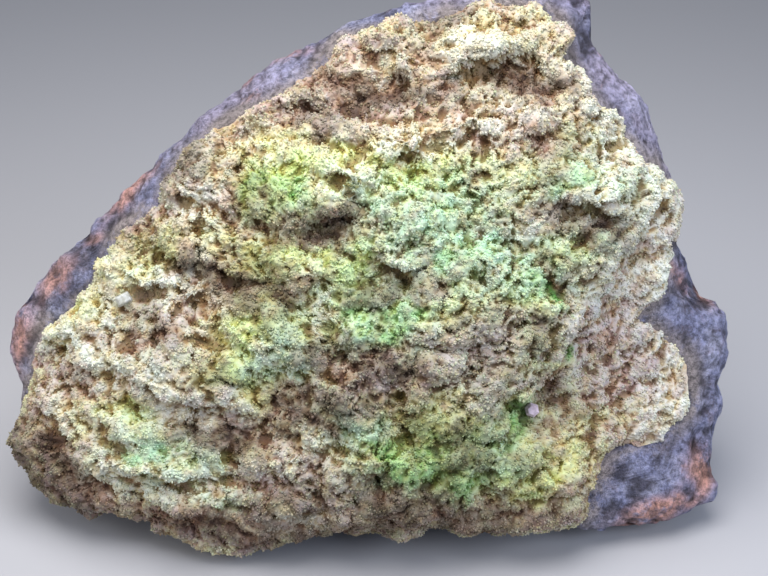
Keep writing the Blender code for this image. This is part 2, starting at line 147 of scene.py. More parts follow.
def gridRim(rows, columns):  # the grid's outer points, counter-clockwise
    width = columns + 1
    return np.concatenate([
        np.arange(columns), np.arange(rows) * width + columns,
        rows * width + columns - np.arange(columns), (rows - np.arange(rows)) * width,
    ])


def closeUp(t, near):  # way in from a rim: t squared over 2 near, then t - near / 2, scaled to 1
    return np.where(t < near, t * t / (2.0 * near), t - near / 2.0) / (1.0 - near / 2.0)


def faceNormals(points, faces):  # twice the area long
    corners = points[faces.T]
    return np.cross(corners[2] - corners[0], corners[3] - corners[1])


def pointNormals(points, faces):  # the mean direction of the squares round each point
    across = faceNormals(points, faces)
    total = np.zeros_like(points)
    for corner in range(4):
        for axis in range(3):
            total[:, axis] += np.bincount(faces[:, corner], across[:, axis], len(points))
    return total / np.maximum(np.linalg.norm(total, axis=1, keepdims=True), 1e-9)


def softened(points, faces, rounds):  # each point mixed with its neighbours, again and again
    keep = 0.35
    pairs = np.concatenate([faces[:, [i, (i + 1) % 4]] for i in range(4)])
    here, there = np.concatenate([pairs, pairs[:, ::-1]]).T
    share = np.maximum(np.bincount(here, minlength=len(points)), 1)
    for _ in range(rounds):
        mean = [np.bincount(here, a[there], len(points)) / share for a in points.T]
        points = keep * points + (1.0 - keep) * np.stack(mean, axis=1)
    return points


def addObject(name, data):
    made = bpy.data.objects.new(name, data)
    bpy.context.scene.collection.objects.link(made)
    return made


def makePiece(name, x, v, n, faces, attributes, uvs, sharp=None):
    # A mesh from points in the face plane, with named numbers per point and a map per point. A
    # square whose last corner is repeated is a triangle. Edges between two sharp points are sharp.
    mesh = bpy.data.meshes.new(name)
    sizes = np.where(faces[:, 2] == faces[:, 3], 3, 4)
    loops = faces[np.arange(4) < sizes[:, None]]
    mesh.vertices.add(len(x))
    mesh.vertices.foreach_set("co", toWorld(x, v, n).ravel())
    mesh.loops.add(len(loops))
    mesh.loops.foreach_set("vertex_index", loops.astype(np.int32))
    mesh.polygons.add(len(faces))
    mesh.polygons.foreach_set("loop_start", (np.cumsum(sizes) - sizes).astype(np.int32))
    mesh.polygons.foreach_set("loop_total", sizes.astype(np.int32))
    mesh.polygons.foreach_set("use_smooth", np.ones(len(faces), bool))
    mesh.update(calc_edges=True)
    if sharp is not None:
        ends = np.empty(len(mesh.edges) * 2, np.int32)
        mesh.edges.foreach_get("vertices", ends)
        layer = mesh.attributes.new("sharp_edge", "BOOLEAN", "EDGE")
        layer.data.foreach_set("value", sharp[ends.reshape(-1, 2)].all(axis=1))
    for key, values in attributes.items():
        layer = mesh.attributes.new(key, "FLOAT", "POINT")
        layer.data.foreach_set("value", values.astype(np.float32))
    layer = mesh.uv_layers.new(name="OFBake")
    layer.uv.foreach_set("vector", uvs[loops].astype(np.float32).ravel())
    return addObject(name, mesh)


outlines = {
    # x, v and n, clockwise from the left
    "rock": (
        (-93, 30, 20), (-96.5, 40, 21), (-93.5, 50.5, 22), (-85, 60, 24), (-78, 67, 25),
        (-69.5, 74.2, 27), (-64, 82, 28), (-56, 88, 29), (-47.8, 95.8, 31), (-43.6, 100.8, 32),
        (-36.5, 104.6, 33), (-27.5, 112.4, 34), (-12.8, 119.4, 37), (-7, 123.6, 39),
        (3.5, 126.8, 42), (14, 129, 45), (27, 131.2, 46), (41, 133, 46), (51, 132, 45),
        (58, 130, 42), (58.5, 119, 38), (66, 111, 35), (73, 106, 32), (76, 100, 30), (79, 89, 30),
        (84, 78, 28), (83, 68, 26), (88, 59, 22), (91, 54, 20), (95, 53, 20), (98, 47, 18),
        (97.5, 38, 18), (95.5, 30, 18), (97, 24, 18), (94, 14, 18), (93, 9, 18), (94, -1, 18.5),
        (83, -6, 20.5), (68, -8, 23), (58, -8.5, 25.5), (53, -5, 27), (38, -5, 28.5),
        (15, -5.5, 29.5), (-15, -6, 30), (-40, -6, 29.5), (-58, -4, 27.5), (-72, -1.5, 25),
        (-82, -0.5, 22.5), (-90, 3, 20), (-93.5, 12, 20),
    ),
    # x and v
    "crust": (
        (-91, 32), (-88, 41), (-85, 45), (-84, 49), (-77, 52), (-72, 56), (-69, 63), (-64, 71),
        (-58.5, 74), (-52, 79), (-49, 87), (-45, 94), (-39, 97), (-28, 103), (-15, 109),
        (-9, 115), (-6, 120.5), (12, 123.5), (22, 126), (34, 129), (45, 128), (49, 124),
        (52, 114), (59, 106), (67, 96), (75, 88), (82, 77), (81, 71), (80, 66), (78, 58),
        (76, 53), (73, 48), (76.5, 46), (82, 41), (87, 36), (88, 31), (88.5, 25), (86, 21),
        (82, 18), (79, 14), (70, 13), (64, 11.5), (62.5, 7), (60, 2.5), (59, -3.6), (55, -7),
        (39, -7), (32, -7.6), (27, -9), (20, -7), (8, -9), (-12, -9.3), (-22, -11),
        (-28.6, -12.4), (-45, -12), (-56, -9.4), (-63, -4), (-71, -5), (-79.5, -2), (-85.5, -1.6),
        (-90, 5), (-95.5, 13), (-97, 15.7), (-94, 21),
    ),
}
rimEvening = np.radians(np.linspace(-20.0, 20.0, 9))  # turns over which a rim is evened out
rimStep = 2.0  # degrees between the points that are added to a rim


def rimAt(rim, angle, column=None):  # the rim's radius at each angle, or one of its columns
    points = np.array(rim, float)
    angles, radii = fromMiddle(points[:, 0], points[:, 1])
    value = radii if column is None else points[:, column]
    return np.interp(angle, angles, value, period=2 * math.pi)


def finerRim(rim):  # the same curve, with a point at every rimStep as well
    points = np.array(rim, float)
    steps = np.radians(np.arange(-180.0, 180.0, rimStep))
    angle = np.unique(np.concatenate([fromMiddle(points[:, 0], points[:, 1])[0], steps]))
    columns = [*aroundMiddle(angle, rimAt(rim, angle))]
    if points.shape[1] == 3:
        columns.append(rimAt(rim, angle, column=2))
    return np.stack(columns, axis=1)


outlines = {name: finerRim(rim) for name, rim in outlines.items()}


def insideRim(rim, angle, out):
    # radius = out * (evened rim + (rim - evened rim) * out cubed)
    even = np.mean([rimAt(rim, angle + turn) for turn in rimEvening], axis=0)
    return aroundMiddle(angle, out * (even + (rimAt(rim, angle) - even) * out**3))


def fromRim(rim, x, v):  # distance to the nearest stretch of the rim
    ends = np.array(rim, float)[:, :2]
    nearest = np.full(np.shape(x), np.inf)
    for start, end in zip(ends, np.roll(ends, -1, axis=0), strict=True):
        run = end - start
        relX, relV = x - start[0], v - start[1]
        share = np.clip((relX * run[0] + relV * run[1]) / (run @ run), 0.0, 1.0)
        nearest = np.minimum(nearest, np.hypot(relX - share * run[0], relV - share * run[1]))
    return nearest


seamShape = {
    "height": 45.0,
    "rise": 0.1,  # per mm up the plane
    "domeUp": 0.0009,
    "domeAcross": 14.0,  # drop at domeReach to either side of domeX
    "domeReach": 90.0,
    "domeX": 12.0,
    "lobeSag": (78.0, 33.0, 24.0, 25.0, 8.0),  # x, v, reach across, reach up, depth
}


def seam(x, v):
    # Height n where crust and rock meet: a rise up the plane, less a dome both ways and a sag.
    s = seamShape
    up = v - facePlane["middle"][1]
    sagX, sagV, sagAcross, sagUp, depth = s["lobeSag"]
    return (
        s["height"] + s["rise"] * up - s["domeUp"] * up**2
        - s["domeAcross"] * ((x - s["domeX"]) / s["domeReach"]) ** 2
        - depth * np.exp(-(((x - sagX) / sagAcross) ** 2) - ((v - sagV) / sagUp) ** 2)
    )


def footShare(x, v):  # 1 towards the lower edge, 0 towards the sides and the top
    footFrom = 0.35  # sine of the angle below level at which the foot begins
    down = (facePlane["middle"][1] - v) / (fromMiddle(x, v)[1] + 1e-6)
    return ease((down - footFrom) / footFrom)


def formShare(x, v, form):  # exp(-(r squared)^1.25): 1 in the middle of an oval, 0 past its edge
    atX, atV, long, wide = form[:4]
    turn = math.radians(form[5]) if len(form) > 5 else 0.0
    relX, relV = x - atX, v - atV
    along = (relX * math.cos(turn) + relV * math.sin(turn)) / long
    across = (relV * math.cos(turn) - relX * math.sin(turn)) / wide
    return np.exp(-((along**2 + across**2) ** 1.25))


def raised(x, v, forms):  # the heights of ovals added up
    return sum(formShare(x, v, form) * form[4] for form in forms)


def covered(x, v, patches):  # 1 less the product of what each patch leaves bare
    return 1.0 - np.prod([1.0 - formShare(x, v, p) * p[4] for p in patches], axis=0)


rockRolls = {"side": 11.0, "foot": 5.0, "back": 26.0}  # width over which it falls to the rim


def rockFront(x, v):  # height n of the rock's front, without its relief
    rim = outlines["rock"]
    angle, radius = fromMiddle(x, v)
    inward = fromRim(rim, x, v) * (radius < rimAt(rim, angle))
    rimN = rimAt(rim, angle, column=2)
    width = rockRolls["side"] + (rockRolls["foot"] - rockRolls["side"]) * footShare(x, v)
    return rimN + (seam(x, v) - rimN) * quarterRound(inward / width)


crustShape = {
    "seed": 23,
    "gridCount": 432,
    "backStep": 12,  # divides half of gridCount
    "rimShare": 0.14,  # of the way in, over which the rows close up to the rim
    "sink": 0.8,  # how far the rim lies in the rock
    "backSink": 1.8,  # how far the back does
    "slab": 8.0,  # the most that the edge reaches back from the seam
    "edge": 5.0, "middle": 11.0, "taper": 30.0, "foot": 10.0, "least": 2.6,  # thickness
    "edgeRoll": 4.5, "footRoll": 18.0,
    "cliffTop": (70.0, 75.0), "cliffFoot": (37.0, 20.0), "cliffDrop": 5.6, "cliffWidth": 5.0,
    "cliffHeadFade": 12.0, "cliffPastFoot": 18.0, "cliffFootFade": 24.0,
    "relief": ((28.0, 2.0), (13.0, 1.7), (6.5, 1.2)),
    "noisePlane": 50.0,  # height n at which the noise of the relief is read
    "pit": (0.42, 0.7, 0.3),  # pitNumber on level ground, and more per mm of near and far
    # how many, their sizes and their heights
    "pits": (90, (2.2, 4.2), (-3.2, -1.4)),
    "knobs": (70, (2.4, 4.8), (1.0, 2.6)),
    # lumps, ledges and hollows: x, v, half length, half width, height, turn
    "forms": (
        (10.1, 70, 12.4, 8.3, 4, 10), (59.9, 81.1, 10.6, 6.1, 5, -15),
        (37.9, 52, 19.7, 11.6, 3, 25), (35.9, 120.1, 13.2, 5.6, 2, 10),
        (-63.8, 42.1, 17.7, 8.6, 3.5, -8), (-29.4, 42.4, 8.6, 7.6, 3.5),
        (-59.8, 61.4, 9.6, 4.3, 4.5, -18), (-77, 47.7, 5.6, 3.5, 2, 10),
        (-51.7, 11.3, 19.7, 4.6, 3, -8), (-47.1, 0.1, 8.6, 2.8, 2.5),
        (-25.9, -0.4, 15.2, 3.5, 2.5, -8), (12.1, 10.3, 5.6, 3.3, 3.5),
        (5, 14.6, 6.6, 2.3, 2.5, -8), (29.3, 10.3, 12.7, 6.1, 2), (72.8, 37.6, 10.6, 6.1, 3.5, -35),
        (53.1, 9.2, 10.1, 6.1, 2.5, 15), (-24.3, 103.4, 9.6, 3, 2.5, 12),
        (12.1, 95.3, 24, 2.3, 2, 2), (-8.7, 85.6, 17.7, 2.8, 3, -10),
        (-48.6, 77.8, 5.6, 3.5, 2.5, 30), (-39.8, 83.6, 5.6, 3.5, 2.5, 30),
        (42.4, 98.8, 11.4, 3, 2, -12), (28.3, 106.4, 5.1, 3, 2.5, 10),
        (15.4, 36.1, 4.3, 2.5, 3, 15), (12.6, 50.2, 7.6, 5.1, 2.5, 5), (-20, 44.4, 4.8, 4.8, 3),
        (32.3, 32, 10.1, 3.5, 2, 12), (-1.6, 24.9, 5.1, 4.6, 2), (27.8, 62.9, 9.6, 4.6, 2, -8),
        (49.5, 84.9, 6.6, 3.5, 2), (-8.7, 60.3, 6.6, 1.8, 2, -28), (73.6, 81.1, 5.1, 15.2, 2, 20),
        (37.4, 110.9, 8.1, 3.5, -6.4, -8), (23, 106.4, 7.6, 1.8, -3.8, 38),
        (46.5, 105.4, 5.1, 2, -2.2, -20), (5, 105.6, 6.1, 2.3, -5.2, 8),
        (-7.1, 107.4, 4.6, 1.8, -3, -10), (-12.7, 99.3, 4.6, 2, -2.6, -20),
        (27.3, 92.5, 4.6, 1.8, -2.6, -25), (46, 91.7, 2.3, 1.8, -1.9), (12.1, 85.6, 6.1, 2.5, -3),
        (-32.4, 84.1, 1.8, 4.6, -2.6, 12), (-7.7, 72, 8.1, 3.8, -5.6, 8),
        (-23.3, 72, 6.1, 3.3, -2.6, 15), (-29.9, 76.8, 2.5, 3, -2.2), (50, 76, 4.6, 2.5, -3.8, -10),
        (60.2, 72.5, 6.6, 3, -4.9, -14), (15.1, 61.9, 8.1, 1.8, -4.1, 38),
        (5.3, 59.3, 9.1, 2.3, -3.4), (2, 62.9, 5.1, 2, -2.2), (-44.6, 61.9, 5.6, 2.3, -3.8, 10),
        (-36, 57.8, 6.6, 1.8, -3.4, -36), (-23.8, 57.3, 10.1, 2, -3, -2),
        (-54.7, 53.8, 5.1, 2, -3.4, 5), (-42.6, 48.7, 6.6, 3.5, -1.9),
        (-57.7, 43.1, 7.6, 2, -2.6, 5), (-79, 39.1, 2, 4.6, -3, 20),
        (-8.7, 38.6, 7.1, 3, -2.6, -10), (2, 39.6, 3.5, 3.5, -2.2), (11.6, 34.5, 3.5, 2.3, -3.4),
        (-31.9, 33.5, 5.6, 1.8, -3, 8), (-19.3, 31, 9.6, 5.1, -1.9),
        (-36, 21.9, 15.2, 5.1, -2.6, -6), (-60.8, 25.4, 6.1, 2.3, -2.2, 5),
        (41.4, 25.4, 8.1, 2.8, -3, 8), (10.6, 19.9, 2.3, 5.6, -2.6, 10), (3.2, 6.5, 4.8, 3, -6),
        (29.8, 17.8, 6.6, 2.5, -2.2, -10), (47.5, 57.8, 4.6, 2, -3.8, -55),
        (38.1, 46.2, 8.6, 2, -1.5, 10), (19.2, 52.8, 2.3, 3, -2.6),
        (19.7, 40.1, 8.6, 1.8, -1.9, 15), (62.7, 41.9, 2.3, 2.3, -1.9), (63.7, 30, 3, 2, -1.5),
        (35.6, 69, 3.5, 2, -1.9), (-22, 38, 6, 5, 2.2), (-57, 54, 9, 4, 2.2, -10),
        (-42, 76, 4, 9, 1.6, 10), (10, 61, 4, 3, 2.6), (-5, 81, 4, 3, 2.2),
        (61, 72.5, 7, 4, 3.6, -14), (75.5, 78, 3, 3, 2), (-58, 64, 9, 3, -2.5, -14),
        (-41, 57.5, 6, 2.5, -2.5, -5), (-44.6, 63.8, 5, 2.2, 2.6, 10), (-80, 20, 4, 4, 1.5),
        (-61, 20, 6, 4, 1.4), (-57, 9, 13, 3, 1.4, -5), (-67, 8, 5, 3, 1.2), (-47, -1, 5, 2.5, 1.5),
        (-40, 27, 6, 2.5, 1.4), (-22, 39, 6, 3.5, 1.2), (-5, 84, 5, 2.5, 1.4),
        (-5.5, 79.5, 3.5, 3, 2.5), (8, 54, 11, 2.5, 1.4, 5), (13, 92, 9, 2.5, 1.5, 12),
        (54, 77.5, 6, 2.5, 1.4), (-43, 70, 3, 6, 1.3), (31, 118, 8, 3, 1.2, -5),
        (50, 111, 5, 5, 1.2), (40, 51, 6, 4, 1), (84, 36, 3, 14, 1), (5, 106, 6, 3, -1.5, 5),
        (32, 117, 8, 3, 1.5, -5), (-60, 20, 7, 5, 1.8), (-53, 9, 13, 3, 1.6, -5),
        (-57, 32, 18, 3, 1.6, -22), (15, 94, 13, 3, 2, 12), (-6, 84, 7, 3, 1.6, -10),
        (-12, 15, 11, 4, 1.4, 15), (60, 78, 10, 3, 1.6, -5), (8, 62, 5, 3, 1.8),
        (44, 70, 6, 3, 1.4), (-8, 49, 5, 5, 1.5, 30), (-78, 42, 6, 4, 1.4), (30, 116, 8, 4, 1.2),
        (70, 58, 7, 10, 1.5, -20), (80, 20, 5, 10, 1.5), (42, 107, 8, 4, -5, -10),
        (33, 114, 8, 3, 3.5, -8), (-27, 56, 8, 2.5, -1.8, -10), (-35, 18, 14, 3, -1.6, -3),
        (0, 57, 8, 2, -1.5, -5), (-16, 23, 7, 3, -1.5, -15), (-8, 70, 7, 4, -1.5, 10),
    ),
}


def cliffStep(x, v):  # 0 on the high side, 1 on the low side
    s = crustShape
    along = np.subtract(s["cliffFoot"], s["cliffTop"])
    length = np.hypot(*along)
    along = along / length
    relX, relV = x - s["cliffTop"][0], v - s["cliffTop"][1]
    down = relX * along[0] + relV * along[1]
    out = relV * along[0] - relX * along[1]
    head = ease((down + s["cliffHeadFade"]) / s["cliffHeadFade"])
    foot = ease((length + s["cliffPastFoot"] - down) / s["cliffFootFade"])
    return ease(out / s["cliffWidth"]) * head * foot


def scatteredForms():  # small pits and knobs at random places
    random = np.random.default_rng(crustShape["seed"])
    low, high = np.min(outlines["crust"], axis=0), np.max(outlines["crust"], axis=0)
    forms = []
    for count, reach, height in (crustShape["pits"], crustShape["knobs"]):
        places = random.uniform(low, high, (count, 2))
        long, wide = random.uniform(*reach, (2, count))
        turns, heights = random.uniform(0.0, 180.0, count), random.uniform(*height, count)
        forms += list(zip(*places.T, long, wide, heights, turns, strict=True))
    return forms


def crustThickness(x, v, inward, bumps):
    # From the edge's thickness to the middle's, less the cliff's drop, with bumps and forms added,
    # and rounded off at the rim.
    s = crustShape
    foot = footShare(x, v)
    edge = s["edge"] + (s["foot"] - s["edge"]) * foot
    thick = edge + (s["middle"] - edge) * ease(inward / s["taper"])
    thick = thick - s["cliffDrop"] * cliffStep(x, v) + bumps + raised(x, v, s["forms"])
    thick = np.maximum(thick, s["least"])
    return thick * quarterRound(inward / (s["edgeRoll"] + (s["footRoll"] - s["edgeRoll"]) * foot))


spongeShape = {
    "edgeDrift": ((8.0, 2.2), (3.2, 1.2)),  # sideways drift of the surface, edges and all
    "warp": ((7.0, 1.5), (2.4, 0.8)),  # further drift of the pattern on it
    "flow": (0.75, 0.3, 10.0, 15.0),  # squeeze along x, rise to both sides, of x, over
    "billows": ((17.0, 1.1), (8.0, 0.7), (4.2, 0.5)),  # rounded lumps with creases between them
    "pores": ((3.9, 0.72), (2.2, 0.58), (1.3, 0.42)),  # size and depth
    "poreReach": 0.62, "wallReach": 0.4,  # of a cell, from its point and from its wall
    "wallRise": 0.4, "poreDrop": 1.5, "poreLevel": 0.2,  # shares of the depth
    "poreMix": (0.2, 1.3),  # least depth of a pore and how much more the deepest has
    "loose": (0.9, ((17.0, 0.7), (8.0, 0.4)), (0.35, 1.5)),  # how open it is: mean, noise, range
    "grit": ((1.2, 0.34), (0.6, 0.25)),
    "rimFade": (1.5, 0.35),  # width over which the relief fades towards the rim, and its share there
    "lower": 0.6,  # how far the whole relief lies below its level
    "droop": 0.3,  # how far a lump hangs down the face, of its height
    "droopFade": 8.0,
    "overRock": 0.4,  # least height over the rock, a millimetre past the rim
    "dip": 3.0,  # width over which the edge goes down to the rock
    "even": (8, 12),  # rounds of softening of the surface, and more for the way the relief stands
    "evenFade": 2.0,  # width at the rim that isn't softened
    "calmDepth": 0.75, "seatDepth": 0.6,  # share of the relief that goes on calm stretches, seats
    # calm, smoother stretches: x, v, half length, half width, strength, turn
    "calm": (
        (66, 52, 8, 15, 0.75, -20), (60, 38, 9, 12, 0.55), (77, 72, 4, 9, 0.5),
        (-74, 44, 8, 5, 0.2), (15, -4, 60, 4, 0.3),
    ),
}


def billow(points, wavelength, seed):  # the size of the noise, -1 in its creases
    return 2.0 * np.minimum(np.abs(noise(points, wavelength, seed)) * 1.6, 1.0) - 1.0


seatShape = {
    "reach": 1.6, "fade": 3.0,  # radius of the level place, and the width round it
    "buried": {"lilac_crystal": 0.9, "white_grain": 1.6},  # depth of its foot in the crust
}


def findSeats():  # for each odd crystal, its x, v and the height n of the crust round its foot
    seats = []
    for name, buried in seatShape["buried"].items():
        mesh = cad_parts[name].data
        points = np.empty(len(mesh.vertices) * 3, np.float32)
        mesh.vertices.foreach_get("co", points)
        x, v, n = toFace(points.reshape(-1, 3).astype(float))
        seats.append((x.mean(), v.mean(), n.min() + buried))
    return seats


seats = findSeats()


def seatNear(x, v, seat):  # 1 at the seat, 0 away from it
    reach, fade = seatShape["reach"], seatShape["fade"]
    return ease((reach + fade - np.hypot(x - seat[0], v - seat[1])) / fade)


def calmShare(x, v):  # the strongest smooth stretch at each place
    return np.max([formShare(x, v, form) * form[4] for form in spongeShape["calm"]], axis=0)


def flowed(points):  # the pattern runs along ledges that rise to both sides of the middle
    squeeze, rise, middle, soft = spongeShape["flow"]
    x, v, n = points.T
    return np.stack([x * squeeze, v - rise * np.hypot(x - middle, soft), n], axis=1)


def spongeHeight(points, share):
    # Lumps and pores added up over falling sizes: a pore is the hollow round a cell's point, and
    # the walls between cells stand up as ridges. Some stretches are closed and some full of pores.
    s = spongeShape
    moved = points + drifted(points, s["warp"], 100, 7)
    along = flowed(moved)
    mean, steps, limits = s["loose"]
    loose = np.clip(mean + octaves(points, steps, 130), *limits)
    height = sum(h * billow(along, w, 140 + i) for i, (w, h) in enumerate(s["billows"]))
    least, more = s["poreMix"]
    for i, (size, depth) in enumerate(s["pores"]):
        first, second, own = cells(along if i == 0 else moved, size, 160 + 10 * i)
        hollow = ease(1.0 - first / s["poreReach"]) * (least + more * own**2) * loose
        wall = ease(1.0 - (second - first) / s["wallReach"])
        height = height + depth * (s["wallRise"] * wall - s["poreDrop"] * hollow + s["poreLevel"])
    return (height + octaves(moved, s["grit"], 190)) * share - s["lower"]


def crustBack(x, v):  # height n of the rock under the crust, or of the slab where it overhangs
    level = seam(x, v)
    return np.clip(rockFront(x, v), level - crustShape["slab"], level)


def makeCrustSkin():
    # The seam's height plus the thickness, drifted sideways, hung down the face and softened, then
    # moved along its normals by the sponge's height, and never under the rock.
    s, t = crustShape, spongeShape
    angle, ring = discGrid(s["gridCount"])
    out = 1.0 - closeUp(1.0 - ring, s["rimShare"])
    x, v = insideRim(outlines["crust"], angle, out)
    inward = fromRim(outlines["crust"], x, v) * (ring < 1.0)
    flat = np.stack([x, v, np.full_like(x, s["noisePlane"])], axis=1)
    bumps = octaves(flat, s["relief"], s["seed"]) + raised(x, v, scatteredForms())
    under = crustBack(x, v)
    dip = (seam(x, v) - under + s["sink"]) * (1.0 - ease(inward / t["dip"]))
    thick = crustThickness(x, v, inward, bumps)
    n = seam(x, v) + thick - dip
    drift = drifted(flat, t["edgeDrift"], 90, 3, axes=2)
    hang = t["droop"] * (thick - s["middle"]) * ease(inward / t["droopFade"])
    openShare = np.ones_like(x)
    for seat in seats:
        near = seatNear(x, v, seat)
        n = n + (seat[2] - n) * near
        hang, openShare = hang * (1.0 - near), openShare * (1.0 - t["seatDepth"] * near)
    points = np.stack([x + drift[:, 0], v + drift[:, 1] - hang, n], axis=1)
    faces = gridFaces(s["gridCount"], s["gridCount"])
    rounds, moreRounds = t["even"]
    pastRim = ease(inward / t["evenFade"])
    base = points + (softened(points, faces, rounds) - points) * pastRim[:, None]
    fade, atRim = t["rimFade"]
    share = atRim + (1.0 - atRim) * ease(inward / fade)
    share = share * (1.0 - t["calmDepth"] * calmShare(x, v)) * openShare
    normals = pointNormals(softened(base, faces, moreRounds), faces)
    points = base + normals * spongeHeight(base, share)[:, None]
    least = crustBack(points[:, 0], points[:, 1])
    least = least + t["overRock"] * np.clip(inward - 1.0, -2.0, 1.0)
    least = least + octaves(points, t["grit"], 195) * pastRim
    points[:, 2] = np.maximum(points[:, 2], least)
    return points, faces, base, inward


skinPoints, skinFaces, skinBase, skinInward = makeCrustSkin()
print("crust surface worked out")


def closedBlock(points, rows, columns, step):
    # A grid's rim is joined to a coarse grid behind it, which takes every step-th point and lies
    # in the rock.
    faces = gridFaces(rows, columns)
    grid = np.arange(len(points)).reshape(rows + 1, columns + 1)[::step, ::step]
    back = points[grid.ravel()].copy()
    back[:, 2] = crustBack(*back[:, :2].T) - crustShape["backSink"]
    fine = gridRim(rows, columns)
    coarse = gridRim(rows // step, columns // step) + len(points)
    j = (np.arange(len(fine)) + step // 2) // step % len(coarse)
    after, nextJ = np.roll(fine, -1), np.roll(j, -1)
    strips = np.stack([after, fine, coarse[j], coarse[j]], axis=1)
    joins = np.stack([after, coarse[j], coarse[nextJ], coarse[nextJ]], axis=1)[nextJ != j]
    inner = gridFaces(rows // step, columns // step)[:, ::-1] + len(points)
    return np.concatenate([points, back]), np.concatenate([faces, strips, joins, inner])


